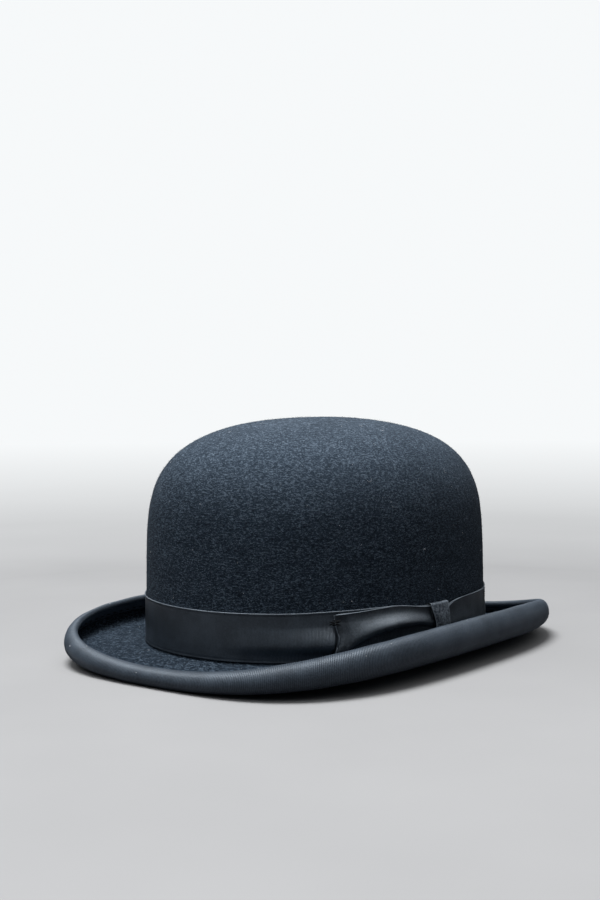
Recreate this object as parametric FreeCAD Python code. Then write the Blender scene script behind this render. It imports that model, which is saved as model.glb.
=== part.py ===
import FreeCAD, Part
import math
import os

# A bowler hat, size 58: stiff felt crown and brim, bound brim edge, ribbon band with a flat bow,
# leather sweatband and satin lining. Millimetres. The wearer faces -Y, their left is +X, +Z is up.
# The origin is the middle of the footprint, on the plane that the front and back of the brim rest on.

# Crown: an oval plan, and a profile that is steep at the wall and flatter over the top.
CROWN_HALF_WIDTH = 87.7
CROWN_HALF_LENGTH = 105.8
CROWN_PLAN_POWER = 2.2
HAT_HEIGHT = 133.5
SHOULDER_POWER = 2.15
RISE_POWER = 6.3
SHOULDER_SPREAD = 0.9

# Break: the line where crown and brim meet, a little higher at the sides.
BREAK_HEIGHT = 8.0
BREAK_SIDE_RISE = 1.9
BREAK_RADIUS = 3.0
BREAK_CLEAR = 1.0

# Brim: its lip is a squarish oval that dips at the front and back. The edge curls up and over.
LIP_HALF_WIDTH = 103.7
LIP_HALF_LENGTH = 137.6
LIP_PLAN_POWER = 3.4
LIP_HEIGHT = 9.7
LIP_SIDE_RISE = 16.1
CURL_DEPTH = 9.7
CURL_SIDE_DEPTH = 18.4
CURL_BULGE = 5.8
CURL_FOOT_SHARE = 0.55

# Sheet materials.
FELT = 2.4
RIBBON = 0.6
GAP = 0.12
EDGE_SETBACK = 0.6
BINDING_INSIDE = 8.0
BINDING_OUTSIDE = 21.0
BINDING_LAP_ANGLE = math.radians(4.0)
LAP_INSIDE = 3.5
LAP_OUTSIDE = 6.0
BINDING_STITCH_INSET = 1.5

# Band and bow. Heights are measured from the break. Angles are round the crown from the wearer's left.
BAND_FOOT = 1.3
BAND_TOP = 26.4
BOW_MIDDLE = math.radians(-8.2)
KNOT_HALF_ANGLE = math.radians(4.8)
WING_ANGLE = math.radians(35.5)
WING_THICKNESS = 2.0
WING_CLEAR_ANGLE = math.radians(0.6)
WING_ARCH = 4.0
WING_ARCH_SKEW = 0.75
WING_FLARE_POWER = 4
KNOT_TOP = 24.3
KNOT_FOOT = 2.0
PINCH_FOOT = 12.5
PINCH_TOP = 23.3
KNOT_THICKNESS = 1.0
WING_TACKS = 3
WING_TACK_TOP = 22.4
WING_TACK_PITCH = 1.2
WING_TACK_INSET = math.radians(1.2)
WING_TACK_HALF_ANGLE = math.radians(0.8)
BAND_TACKS = 7
BAND_TACK_START = math.radians(50.0)
BAND_TACK_SPAN = math.radians(230.0)
BAND_TACK_HEIGHT = 25.6
BAND_TACK_LENGTH = 1.0

# Sweatband and its reed.
LEATHER = 1.2
SWEATBAND_FOOT = 1.0
SWEATBAND_TOP = 57.0
SWEATBAND_INSET = 4.0
REED_RADIUS = 0.8
REED_TAPE = 0.4
REED_DROP = 0.7
REED_TAPE_OPENING = math.radians(35.0)
SWEATBAND_STITCH_HEIGHT = 3.0
BACK_TAPE_ANGLE = math.radians(5.0)
BACK_TAPE_INSET = 2.0
BACK_STITCHES = 9
BACK_STITCH_FOOT = 8.0
BACK_STITCH_PITCH = 5.0
BACK_STITCH_RISE = 3.8
BACK_STITCH_HALF_ANGLE = math.radians(0.9)
MARKER_DROP = 4.0
MARKER_HALF_LENGTH = 6.8
MARKER_HALF_HEIGHT = 2.8
MARKER_THICKNESS = 1.8
MARKER_SPREAD = 8.7
MARKER_CLEAR = 1.2
MARKER_KNOT_RADIUS = 1.5
MARKER_KNOT_HEIGHT = 4.0
MARKER_KNOT_CLEAR = 2.2

# Lining.
SATIN = 0.4
LINING_INSET = 2.9
LINING_FOOT = 34.0
LINING_SEAM_SPREAD = 0.80
LINING_TIP_SPREAD = 0.77
PIPING_RADIUS = 0.9
PIPING_INSET = 1.0
SHIELD_HALF_WIDTH = 38.0
SHIELD_HALF_LENGTH = 50.0
SHIELD_THICKNESS = 0.3
SHIELD_STITCH_INSET = 2.0
TICKET_WIDTH = 22.0
TICKET_HEIGHT = 34.0
TICKET_THICKNESS = 0.3
TICKET_SHOWING = 9.0
TICKET_INSET = 3.5
TICKET_MIDDLE = math.radians(104.0)

# Thread.
THREAD_RADIUS = 0.25
THREAD_CLEAR = 0.05
STITCH_PITCH = 6.0
STITCH_LENGTH = 3.6

COLUMNS = 72
ARC_STEPS = 9
DOME_STEPS = 10
WALL_STEPS = 8
BRIM_STEPS = 6
EDGE_STEPS = 5
STRIP_STEPS = 14
BACK = math.pi / 2
TURN = 2 * math.pi


def oval_radius(angle, half_width, half_length, power):
    across = abs(math.cos(angle)) / half_width
    along = abs(math.sin(angle)) / half_length
    return (across ** power + along ** power) ** (-1.0 / power)


def crown_radius(angle):
    return oval_radius(angle, CROWN_HALF_WIDTH, CROWN_HALF_LENGTH, CROWN_PLAN_POWER)


def lip_radius(angle):
    return oval_radius(angle, LIP_HALF_WIDTH, LIP_HALF_LENGTH, LIP_PLAN_POWER)


def side_share(angle):
    """Nought at the front and back of the brim, one at its sides."""
    return (lip_radius(angle) * math.cos(angle) / LIP_HALF_WIDTH) ** 2


def break_height(angle):
    return BREAK_HEIGHT + BREAK_SIDE_RISE * math.cos(angle) ** 2


def place(angle, reach, height):
    return (reach * math.cos(angle), reach * math.sin(angle), height)


def columns(start=0.0, end=TURN, count=COLUMNS):
    """Angles from start to end. A full turn leaves out the last, which is the first again."""
    steps = count if end - start >= TURN else count - 1
    return [start + (end - start) * index / steps for index in range(count)]


# ---- Lines in the half plane at one angle: lists of (reach, height) ----

def arc(centre, radii, start, end, steps):
    """Part of an ellipse, leaving out its first point."""
    points = []
    for index in range(1, steps + 1):
        turn = start + (end - start) * index / steps
        points.append((centre[0] + radii[0] * math.cos(turn), centre[1] + radii[1] * math.sin(turn)))
    return points


def crown_line(angle, inset):
    """A line inside the crown's outer face by inset, from the top's middle to just above the break."""
    radius = crown_radius(angle) - inset
    foot = break_height(angle) - inset
    rise = HAT_HEIGHT - inset - foot
    points = []
    for index in range(DOME_STEPS):
        spread = SHOULDER_SPREAD * index / (DOME_STEPS - 1)
        level = (1 - spread ** SHOULDER_POWER) ** (1 / RISE_POWER)
        points.append((radius * spread, foot + rise * level))
    top_level = (1 - SHOULDER_SPREAD ** SHOULDER_POWER) ** (1 / RISE_POWER)
    last_level = (BREAK_RADIUS + BREAK_CLEAR) / rise
    for index in range(1, WALL_STEPS + 1):
        level = top_level + (last_level - top_level) * index / WALL_STEPS
        spread = (1 - level ** RISE_POWER) ** (1 / SHOULDER_POWER)
        points.append((radius * spread, foot + rise * level))
    return points


def felt_middle(angle):
    """The middle of the felt's thickness, from the top of the crown to the lip of the brim."""
    half = FELT / 2
    skin = half + GAP + RIBBON
    points = crown_line(angle, half)
    wall = crown_radius(angle) - half
    foot = break_height(angle) - half
    points += arc((wall + BREAK_RADIUS, foot + BREAK_RADIUS), (BREAK_RADIUS, BREAK_RADIUS),
                  math.pi, 1.5 * math.pi, EDGE_STEPS)

    lip = lip_radius(angle)
    share = side_share(angle)
    depth = CURL_DEPTH + (CURL_SIDE_DEPTH - CURL_DEPTH) * share
    middle = LIP_HEIGHT + LIP_SIDE_RISE * share - depth / 2
    half_depth = depth / 2 - skin
    foot_width = CURL_FOOT_SHARE * depth - skin
    bulge = CURL_BULGE - skin
    heel = lip + bulge - foot_width
    lowest = middle - half_depth
    start = points[-1]
    for index in range(1, BRIM_STEPS + 1):
        share = index / BRIM_STEPS
        ease = share * share * (3 - 2 * share)
        points.append((start[0] + (heel - start[0]) * share, start[1] + (lowest - start[1]) * ease))
    points += arc((heel, middle), (foot_width, half_depth), -math.pi / 2, 0, ARC_STEPS)
    points += arc((lip, middle), (bulge, half_depth), 0, math.pi / 2, ARC_STEPS)
    return points


def directions(points):
    """The unit direction of travel at each point."""
    result = []
    for index in range(len(points)):
        before = points[max(index - 1, 0)]
        after = points[min(index + 1, len(points) - 1)]
        reach = after[0] - before[0]
        height = after[1] - before[1]
        length = math.hypot(reach, height)
        result.append((reach / length, height / length))
    if points[0][0] == 0:
        result[0] = (1.0, 0.0)
    return result


def shifted(points, distance):
    """The line moved sideways: towards the hat's upper and outer face if distance is positive."""
    moved = []
    for point, direction in zip(points, directions(points)):
        moved.append((point[0] - distance * direction[1], point[1] + distance * direction[0]))
    return moved


def round_end(points, distance):
    """A half circle round the line's last point, from its upper face to its lower face."""
    end = points[-1]
    ahead = directions(points)[-1]
    side = (-ahead[1], ahead[0])
    result = []
    for index in range(1, EDGE_STEPS + 1):
        turn = math.pi * index / (EDGE_STEPS + 1)
        along = distance * math.sin(turn)
        across = distance * math.cos(turn)
        result.append((end[0] + along * ahead[0] + across * side[0],
                       end[1] + along * ahead[1] + across * side[1]))
    return result


def last_stretch(points, length, count):
    """The last part of a line, as evenly spaced points that end at its end."""
    result = []
    for index in range(count):
        wanted = length * (1 - index / (count - 1))
        walked = 0.0
        place_on = points[-1]
        for ahead, behind in zip(reversed(points), reversed(points[:-1])):
            step = math.hypot(ahead[0] - behind[0], ahead[1] - behind[1])
            if walked + step >= wanted:
                share = (wanted - walked) / step
                place_on = (ahead[0] + (behind[0] - ahead[0]) * share,
                            ahead[1] + (behind[1] - ahead[1]) * share)
                break
            walked += step
        result.append(place_on)
    return result


def wall_reach(angle, height, inset):
    """How far the crown's wall stands out at a height, inside its outer face by inset."""
    foot = break_height(angle) - max(inset, 0)
    rise = HAT_HEIGHT - max(inset, 0) - foot
    level = max(0.0, (height - foot) / rise)
    return (crown_radius(angle) - inset) * (1 - level ** RISE_POWER) ** (1 / SHOULDER_POWER)


def strip_outline(heights, outer_inset, thickness, angle):
    """The outline of a thin strip against the wall, through the heights given, lowest first."""
    outer = [(wall_reach(angle, height, outer_inset), height) for height in heights]
    inner = [(wall_reach(angle, height, outer_inset + thickness), height) for height in heights]
    return outer + inner[::-1]


def upright_strip(angle, low, high, inset, thickness, steps=6):
    """A strip between two heights. Extra points close to its edges keep them crisp."""
    heights = [low, low + thickness / 2]
    heights += [low + (high - low) * index / steps for index in range(1, steps)]
    heights += [high - thickness / 2, high]
    return strip_outline(heights, inset, thickness, angle)


def circle_line(centre, radius, steps=12):
    return arc(centre, (radius, radius), 0, TURN, steps)


# ---- Solids ----

def sharpened(points, closed=True):
    """Control points whose smooth curve passes close to the points given."""
    result = []
    last = len(points) - 1
    for index, point in enumerate(points):
        if not closed and index in (0, last):
            result.append(point)
            continue
        before = points[index - 1]
        after = points[(index + 1) % len(points)]
        result.append(tuple(here - (low + high - 2 * here) / 6
                            for low, here, high in zip(before, point, after)))
    return result


def outward(solid):
    if solid.Volume < 0:
        solid.reverse()
    return solid


def smooth_surface(rows, round_rows, round_columns):
    """A cubic surface over a net of control points, closed or open each way."""
    rows = [[FreeCAD.Vector(*point) for point in row] for row in rows]
    marks = []
    for count, is_round in ((len(rows), round_rows), (len(rows[0]), round_columns)):
        marks.append([1] * (count + 1) if is_round else [4] + [1] * (count - 4) + [4])
    knots = [[float(knot) for knot in range(len(mark))] for mark in marks]
    surface = Part.BSplineSurface()
    surface.buildFromPolesMultsKnots(rows, marks[0], marks[1], knots[0], knots[1],
                                     round_rows, round_columns, 3, 3)
    return surface


def turned_solid(line, closed):
    """A solid right round the hat. The line is a closed outline, or starts and ends at the middle."""
    rings = zip(*[[place(angle, *point) for point in line(angle)] for angle in columns()])
    rows = list(zip(*[sharpened(ring) for ring in rings]))
    surface = smooth_surface(rows, True, closed)
    return outward(Part.Solid(Part.Shell([surface.toShape()])))


def strip_solid(line, start, end, steps=STRIP_STEPS):
    """A solid over part of the turn, with flat ends. The line is a closed outline."""
    rows = [[place(angle, *point) for point in line(angle)] for angle in columns(start, end, steps)]
    surface = smooth_surface(rows, False, True)
    first, last = surface.bounds()[:2]
    faces = [surface.toShape()]
    for end_line in (surface.uIso(first), surface.uIso(last)):
        faces.append(Part.Face(Part.Wire(end_line.toShape())))
    shell = Part.Shell(faces)
    shell.sewShape()
    return outward(Part.Solid(shell))


def stitch(start, end):
    """One stitch: a short straight thread."""
    start = FreeCAD.Vector(*start)
    path = FreeCAD.Vector(*end) - start
    return Part.makeCylinder(THREAD_RADIUS, path.Length, start, path)


def stitch_row(point_at, pitch=STITCH_PITCH, length=STITCH_LENGTH, start=0.0, end=TURN):
    """Stitches along a line round the hat. point_at gives the line's point at an angle."""
    stitches = []
    angle = start
    while angle < end:
        first = point_at(angle)
        reach = math.hypot(first[0], first[1])
        stitches.append(stitch(first, point_at(angle + length / reach)))
        angle += pitch / reach
    return Part.makeCompound(stitches[:-1])


# ---- Felt and binding ----

def felt_body():
    def line(angle):
        middle = felt_middle(angle)
        top = shifted(middle, FELT / 2)
        under = shifted(middle, -FELT / 2)
        return sharpened(top + round_end(middle, FELT / 2) + under[::-1], False)
    return turned_solid(line, False)


def binding_outline(angle, base, thickness, inside, outside):
    """A ribbon folded over the brim's lip: base is its distance from the middle of the felt."""
    middle = felt_middle(angle)
    long_side = last_stretch(middle, outside, 18)
    short_side = last_stretch(middle, inside, 8)
    skin = base + thickness
    outline = shifted(short_side, skin) + round_end(middle, skin) + shifted(long_side, -skin)[::-1]
    outline += shifted(long_side, -base) + round_end(middle, base)[::-1]
    outline += shifted(short_side, base)[::-1]
    return sharpened(outline)


def brim_binding():
    def line(angle):
        return binding_outline(angle, FELT / 2 + GAP, RIBBON, BINDING_INSIDE, BINDING_OUTSIDE)
    return turned_solid(line, True)


def brim_binding_lap():
    """The turned-over end of the binding, lapped at the middle of the back, clear of the floor."""
    def line(angle):
        return binding_outline(angle, FELT / 2 + 2 * GAP + RIBBON, RIBBON, LAP_INSIDE, LAP_OUTSIDE)
    return strip_solid(line, BACK - BINDING_LAP_ANGLE / 2, BACK + BINDING_LAP_ANGLE / 2, 5)


def binding_thread():
    """Stitches on the inner face of the curl, just inside the binding's edge."""
    def point_at(angle):
        inner_side = last_stretch(felt_middle(angle), BINDING_INSIDE - BINDING_STITCH_INSET, 6)
        lift = FELT / 2 + RIBBON + 2 * GAP + THREAD_RADIUS
        reach, height = shifted(inner_side, lift)[0]
        return place(angle, reach, height)
    half_lap = BINDING_LAP_ANGLE
    return stitch_row(point_at, start=BACK + half_lap, end=BACK + TURN - half_lap)


# ---- Band and bow ----

def band_outline(angle, layer, low, high, thickness):
    """A strip on the crown's wall. Layer is how far its inner face stands off the felt."""
    base = break_height(angle)
    return upright_strip(angle, base + low, base + high, -(layer + thickness), thickness)


def hat_band():
    def line(angle):
        return band_outline(angle, GAP, BAND_FOOT, BAND_TOP, RIBBON)
    return turned_solid(line, True)


def bow_back_ribbon():
    """The back layer of the bow's loops, flat on the band."""
    def line(angle):
        return band_outline(angle, 2 * GAP + RIBBON, BAND_FOOT + EDGE_SETBACK,
                            BAND_TOP - EDGE_SETBACK, RIBBON)
    reach = KNOT_HALF_ANGLE + WING_ANGLE - WING_CLEAR_ANGLE
    return strip_solid(line, BOW_MIDDLE - reach, BOW_MIDDLE + reach, 2 * STRIP_STEPS)


def wing_heights(share):
    """The lower and upper edge of a wing. Share is nought at the knot and one at its outer fold."""
    top = KNOT_TOP + (BAND_TOP - KNOT_TOP) * min(1.0, 3 * share)
    arch = WING_ARCH * math.sin(math.pi * share ** WING_ARCH_SKEW)
    flare = (PINCH_FOOT - BAND_FOOT) * share ** WING_FLARE_POWER
    return PINCH_FOOT + arch - flare, top


def bow_wing(side):
    """One wing of the bow: full width at its outer fold, pinched at the knot."""
    def line(angle):
        share = (abs(angle - BOW_MIDDLE) - KNOT_HALF_ANGLE) / WING_ANGLE
        low, high = wing_heights(min(1.0, max(0.0, share)))
        return band_outline(angle, 3 * GAP + 2 * RIBBON, low, high, WING_THICKNESS)
    near = BOW_MIDDLE + side * (KNOT_HALF_ANGLE + WING_CLEAR_ANGLE)
    far = BOW_MIDDLE + side * (KNOT_HALF_ANGLE + WING_ANGLE)
    return strip_solid(line, min(near, far), max(near, far), 2 * STRIP_STEPS)


def bow_knot():
    """The ribbon wrapped upright round the middle of the bow."""
    def line(angle):
        return band_outline(angle, 3 * GAP + 2 * RIBBON + WING_THICKNESS, KNOT_FOOT, KNOT_TOP,
                            KNOT_THICKNESS)
    return strip_solid(line, BOW_MIDDLE - KNOT_HALF_ANGLE, BOW_MIDDLE + KNOT_HALF_ANGLE, 6)


def bow_gathers():
    """The pinched ribbon inside the knot, where both wings meet."""
    def line(angle):
        return band_outline(angle, 3 * GAP + 2 * RIBBON, PINCH_FOOT, PINCH_TOP,
                            WING_THICKNESS - 2 * GAP)
    return strip_solid(line, BOW_MIDDLE - KNOT_HALF_ANGLE, BOW_MIDDLE + KNOT_HALF_ANGLE, 6)


def bow_tack_thread():
    """Three short stitches at the outer fold of each wing."""
    stitches = []
    lift = 4 * GAP + 2 * RIBBON + WING_THICKNESS + THREAD_RADIUS + THREAD_CLEAR
    for side in (-1, 1):
        angle = BOW_MIDDLE + side * (KNOT_HALF_ANGLE + WING_ANGLE - WING_TACK_INSET)
        for index in range(WING_TACKS):
            height = break_height(angle) + WING_TACK_TOP - index * WING_TACK_PITCH
            reach = wall_reach(angle, height, -lift)
            start = place(angle - WING_TACK_HALF_ANGLE, reach, height)
            end = place(angle + WING_TACK_HALF_ANGLE, reach, height)
            stitches.append(stitch(start, end))
    return Part.makeCompound(stitches)


def band_tack_thread():
    """Short tacks along the top of the band that hold it to the crown."""
    stitches = []
    lift = 2 * GAP + RIBBON + THREAD_RADIUS + THREAD_CLEAR
    for index in range(BAND_TACKS):
        angle = BAND_TACK_START + BAND_TACK_SPAN * index / (BAND_TACKS - 1)
        height = break_height(angle) + BAND_TACK_HEIGHT
        reach = wall_reach(angle, height, -lift)
        low = place(angle, reach, height - BAND_TACK_LENGTH / 2)
        high = place(angle, reach, height + BAND_TACK_LENGTH / 2)
        stitches.append(stitch(low, high))
    return Part.makeCompound(stitches)


# ---- Sweatband ----

def sweatband():
    def line(angle):
        base = break_height(angle)
        return upright_strip(angle, base + SWEATBAND_FOOT, base + SWEATBAND_TOP, SWEATBAND_INSET,
                             LEATHER, 10)
    return turned_solid(line, True)


def reed_centre(angle):
    drop = REED_RADIUS + 2 * GAP + REED_TAPE + REED_DROP
    reach = crown_radius(angle) - SWEATBAND_INSET - LEATHER / 2
    return (reach, break_height(angle) + SWEATBAND_FOOT - drop)


def sweatband_reed():
    """The springy reed that stiffens the sweatband's lower edge."""
    def line(angle):
        return sharpened(circle_line(reed_centre(angle), REED_RADIUS))
    return turned_solid(line, True)


def reed_tape():
    """The oilcloth tape folded round the reed, open at the top."""
    def line(angle):
        centre = reed_centre(angle)
        inner = REED_RADIUS + GAP
        outer = inner + REED_TAPE
        start = math.pi / 2 + REED_TAPE_OPENING
        end = math.pi / 2 - REED_TAPE_OPENING + TURN
        outline = arc(centre, (outer, outer), start, end, 14)
        return outline + arc(centre, (inner, inner), end, start, 14)
    return turned_solid(line, True)


def sweatband_thread():
    """The row of stitches just above the sweatband's lower edge."""
    def point_at(angle):
        height = break_height(angle) + SWEATBAND_FOOT + SWEATBAND_STITCH_HEIGHT
        inset = SWEATBAND_INSET + LEATHER + GAP + THREAD_RADIUS + THREAD_CLEAR
        return place(angle, wall_reach(angle, height, inset), height)
    return stitch_row(point_at)


def sweatband_back_tape():
    """The tape glued behind the join in the leather."""
    def line(angle):
        base = break_height(angle)
        low = base + SWEATBAND_FOOT + BACK_TAPE_INSET
        high = base + SWEATBAND_TOP - BACK_TAPE_INSET
        return upright_strip(angle, low, high, SWEATBAND_INSET - GAP - REED_TAPE, REED_TAPE)
    return strip_solid(line, BACK - BACK_TAPE_ANGLE, BACK + BACK_TAPE_ANGLE, 6)


def sweatband_back_thread():
    """Crossed stitches that join the sweatband's two ends at the back."""
    stitches = []
    inset = SWEATBAND_INSET + LEATHER + GAP + THREAD_RADIUS + THREAD_CLEAR
    for index in range(BACK_STITCHES):
        height = break_height(BACK) + SWEATBAND_FOOT + BACK_STITCH_FOOT + index * BACK_STITCH_PITCH
        reach = wall_reach(BACK, height + BACK_STITCH_RISE / 2, inset)
        side = 1 if index % 2 else -1
        start = place(BACK - side * BACK_STITCH_HALF_ANGLE, reach, height)
        end = place(BACK + side * BACK_STITCH_HALF_ANGLE, reach, height + BACK_STITCH_RISE)
        stitches.append(stitch(start, end))
    return Part.makeCompound(stitches)


def sweatband_bow():
    """The small ribbon bow that marks the back of the sweatband: two loops and a knot."""
    pieces = []
    height = break_height(BACK) + SWEATBAND_TOP - MARKER_DROP
    reach = wall_reach(BACK, height, SWEATBAND_INSET + LEATHER)
    inward = FreeCAD.Vector(0, -1, 0)
    across = FreeCAD.Vector(1, 0, 0)
    for side in (-1, 1):
        centre = FreeCAD.Vector(side * MARKER_SPREAD, reach - MARKER_CLEAR, height)
        oval = Part.Ellipse(centre + across * MARKER_HALF_LENGTH,
                            centre + FreeCAD.Vector(0, 0, MARKER_HALF_HEIGHT), centre)
        loop = Part.Face(Part.Wire(oval.toShape()))
        pieces.append(outward(loop.extrude(inward * MARKER_THICKNESS)))
    foot = FreeCAD.Vector(0, reach - MARKER_KNOT_CLEAR, height - MARKER_KNOT_HEIGHT / 2)
    knot = Part.makeCylinder(MARKER_KNOT_RADIUS, MARKER_KNOT_HEIGHT, foot, FreeCAD.Vector(0, 0, 1))
    return Part.makeCompound(pieces + [knot])


# ---- Lining ----

def seam_height(angle):
    """Where the lining's side meets its tip."""
    foot = break_height(angle) - LINING_INSET
    rise = HAT_HEIGHT - LINING_INSET - foot
    return foot + rise * (1 - LINING_SEAM_SPREAD ** SHOULDER_POWER) ** (1 / RISE_POWER)


def lining_side():
    """The satin side wall, tucked behind the sweatband."""
    def line(angle):
        foot = break_height(angle) + LINING_FOOT
        top = seam_height(angle) - PIPING_RADIUS * 2
        return upright_strip(angle, foot, top, LINING_INSET, SATIN, 16)
    return turned_solid(line, True)


def tip_line(angle, inset, spread_limit, steps=8):
    """The underside of the crown's top, out to part of its radius."""
    foot = break_height(angle) - inset
    rise = HAT_HEIGHT - inset - foot
    points = []
    for index in range(steps + 1):
        spread = spread_limit * index / steps
        height = foot + rise * (1 - spread ** SHOULDER_POWER) ** (1 / RISE_POWER)
        points.append(((crown_radius(angle) - inset) * spread, height))
    return points


def lining_tip():
    """The satin oval under the crown's top."""
    def line(angle):
        upper = tip_line(angle, LINING_INSET, LINING_TIP_SPREAD)
        lower = tip_line(angle, LINING_INSET + SATIN, LINING_TIP_SPREAD)
        return upper + lower[::-1]
    return turned_solid(line, False)


def lining_piping():
    """The corded seam between the lining's side and its tip."""
    def line(angle):
        reach = (crown_radius(angle) - LINING_INSET) * LINING_SEAM_SPREAD - PIPING_INSET
        return sharpened(circle_line((reach, seam_height(angle) - PIPING_RADIUS), PIPING_RADIUS))
    return turned_solid(line, True)


def tip_shield():
    """The clear oval patch on the lining's tip, left plain."""
    def line(angle):
        reach = oval_radius(angle, SHIELD_HALF_WIDTH, SHIELD_HALF_LENGTH, 2)
        inset = LINING_INSET + SATIN + 2 * GAP
        spread = reach / crown_radius(angle)
        upper = tip_line(angle, inset, spread)
        lower = tip_line(angle, inset + SHIELD_THICKNESS, spread)
        return upper + lower[::-1]
    return turned_solid(line, False)


def tip_shield_thread():
    """The stitches that hold the clear patch to the tip."""
    def point_at(angle):
        inset = LINING_INSET + SATIN + SHIELD_THICKNESS + 4 * GAP + THREAD_RADIUS + THREAD_CLEAR
        edge = oval_radius(angle, SHIELD_HALF_WIDTH, SHIELD_HALF_LENGTH, 2)
        reach, height = tip_line(angle, inset, (edge - SHIELD_STITCH_INSET) / crown_radius(angle))[-1]
        return place(angle, reach, height)
    return stitch_row(point_at)


def size_ticket():
    """A blank size ticket, tucked behind the sweatband beside the back join."""
    half_turn = TICKET_WIDTH / 2 / crown_radius(TICKET_MIDDLE)

    def line(angle):
        foot = break_height(angle) + SWEATBAND_TOP - TICKET_HEIGHT + TICKET_SHOWING
        return upright_strip(angle, foot, foot + TICKET_HEIGHT, TICKET_INSET, TICKET_THICKNESS)
    return strip_solid(line, TICKET_MIDDLE - half_turn, TICKET_MIDDLE + half_turn, 6)


NODES = {
    "felt_body": felt_body,
    "brim_binding": brim_binding,
    "brim_binding_lap": brim_binding_lap,
    "binding_thread": binding_thread,
    "hat_band": hat_band,
    "band_tack_thread": band_tack_thread,
    "bow_back_ribbon": bow_back_ribbon,
    "bow_front_wing": lambda: bow_wing(-1),
    "bow_rear_wing": lambda: bow_wing(1),
    "bow_gathers": bow_gathers,
    "bow_knot": bow_knot,
    "bow_tack_thread": bow_tack_thread,
    "sweatband": sweatband,
    "sweatband_reed": sweatband_reed,
    "reed_tape": reed_tape,
    "sweatband_thread": sweatband_thread,
    "sweatband_back_tape": sweatband_back_tape,
    "sweatband_back_thread": sweatband_back_thread,
    "sweatband_bow": sweatband_bow,
    "lining_side": lining_side,
    "lining_tip": lining_tip,
    "lining_piping": lining_piping,
    "tip_shield": tip_shield,
    "tip_shield_thread": tip_shield_thread,
    "size_ticket": size_ticket,
}


def export_nodes():
    os.makedirs("parts", exist_ok=True)
    for name, make in NODES.items():
        shape = make()
        if not shape.isValid():
            raise ValueError(name + " is not a valid solid")
        box = shape.BoundBox
        print("%-22s solids %3d volume %9.1f" % (name, len(shape.Solids), shape.Volume), box)
        shape.exportStep("parts/" + name + ".step")


export_nodes()
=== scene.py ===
import math

import bpy
import numpy as np
from mathutils import Matrix, Vector, noise


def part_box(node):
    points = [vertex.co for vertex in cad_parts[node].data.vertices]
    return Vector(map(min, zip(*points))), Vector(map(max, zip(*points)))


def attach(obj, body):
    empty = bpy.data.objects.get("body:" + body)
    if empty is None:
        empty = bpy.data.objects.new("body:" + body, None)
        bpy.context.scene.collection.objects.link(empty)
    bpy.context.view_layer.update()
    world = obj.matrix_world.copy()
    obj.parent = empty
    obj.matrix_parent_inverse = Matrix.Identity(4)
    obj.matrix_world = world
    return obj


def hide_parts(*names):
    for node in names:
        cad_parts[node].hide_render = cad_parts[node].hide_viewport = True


# A bowler hat: blue-black felt, a ribbed binding over the curled brim, a ribbon band with a flat bow,
# and a leather sweatband and satin lining inside. Metres. The wearer faces -Y and their left is +X.

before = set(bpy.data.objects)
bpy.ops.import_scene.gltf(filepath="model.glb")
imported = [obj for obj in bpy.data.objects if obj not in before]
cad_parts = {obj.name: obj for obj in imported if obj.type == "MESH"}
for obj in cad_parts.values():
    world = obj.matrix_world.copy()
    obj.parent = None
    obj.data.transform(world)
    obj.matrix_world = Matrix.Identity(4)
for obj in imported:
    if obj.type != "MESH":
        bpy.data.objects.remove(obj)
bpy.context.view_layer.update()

MM = 0.001
TURN = 2 * math.pi
DEGREE = math.pi / 180
BACK = math.pi / 2

# ---- Sizes, the same as the CAD model's ----

CROWN_HALF_WIDTH = 87.7 * MM
CROWN_HALF_LENGTH = 105.8 * MM
CROWN_PLAN_POWER = 2.2
HAT_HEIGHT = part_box("felt_body")[1].z
SHOULDER_POWER = 2.15
RISE_POWER = 6.3
SHOULDER_SPREAD = 0.9
BREAK_HEIGHT = 8.0 * MM
BREAK_SIDE_RISE = 1.9 * MM
BREAK_RADIUS = 3.0 * MM
BREAK_CLEAR = 1.0 * MM
LIP_HALF_WIDTH = 103.7 * MM
LIP_HALF_LENGTH = 137.6 * MM
LIP_PLAN_POWER = 3.4
LIP_HEIGHT = 9.7 * MM
LIP_SIDE_RISE = 16.1 * MM
CURL_DEPTH = 9.7 * MM
CURL_SIDE_DEPTH = 18.4 * MM
CURL_BULGE = 5.8 * MM
CURL_FOOT_SHARE = 0.55
FELT = 2.4 * MM
RIBBON = 0.6 * MM
GAP = 0.12 * MM
BINDING_INSIDE = 8.0 * MM
BINDING_OUTSIDE = 21.0 * MM
BAND_FOOT = 1.3 * MM
BAND_TOP = 26.4 * MM
SWEATBAND_FOOT = 1.0 * MM
SWEATBAND_TOP = 57.0 * MM
SWEATBAND_INSET = 4.0 * MM
LEATHER = 1.2 * MM
LINING_INSET = 2.9 * MM
LINING_FOOT = 34.0 * MM
LINING_SEAM_SPREAD = 0.80
THREAD_RADIUS = 0.25 * MM

BOW_MIDDLE = -8.2 * DEGREE
KNOT_HALF_ANGLE = 4.8 * DEGREE
WING_ANGLE = 35.5 * DEGREE
PINCH_FOOT = 12.5 * MM
KNOT_TOP = 24.3 * MM
WING_ARCH = 4.0 * MM
WING_ARCH_SKEW = 0.75
WING_FLARE_POWER = 4

# Steps along the felt's profile: its dome, wall, edge, brim, the curl's foot and the lip.
OUTER_COLUMNS = (26, 32, 5, 16, 10, 8)
UNDER_COLUMNS = (8, 8, 4, 10, 5, 4)
FIBRE_COLUMNS = (60, 60, 6, 30, 12, 12)
LINT_COLUMNS = (30, 36, 5, 18, 14, 16)
LIP_COLUMNS = (3, 3, 4, 24, 24, 24)


# ---- The hat's lines, worked out for many angles at once ----

def smooth(share):
    """From nought to one with soft ends."""
    share = np.clip(share, 0, 1)
    return share * share * (3 - 2 * share)


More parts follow.
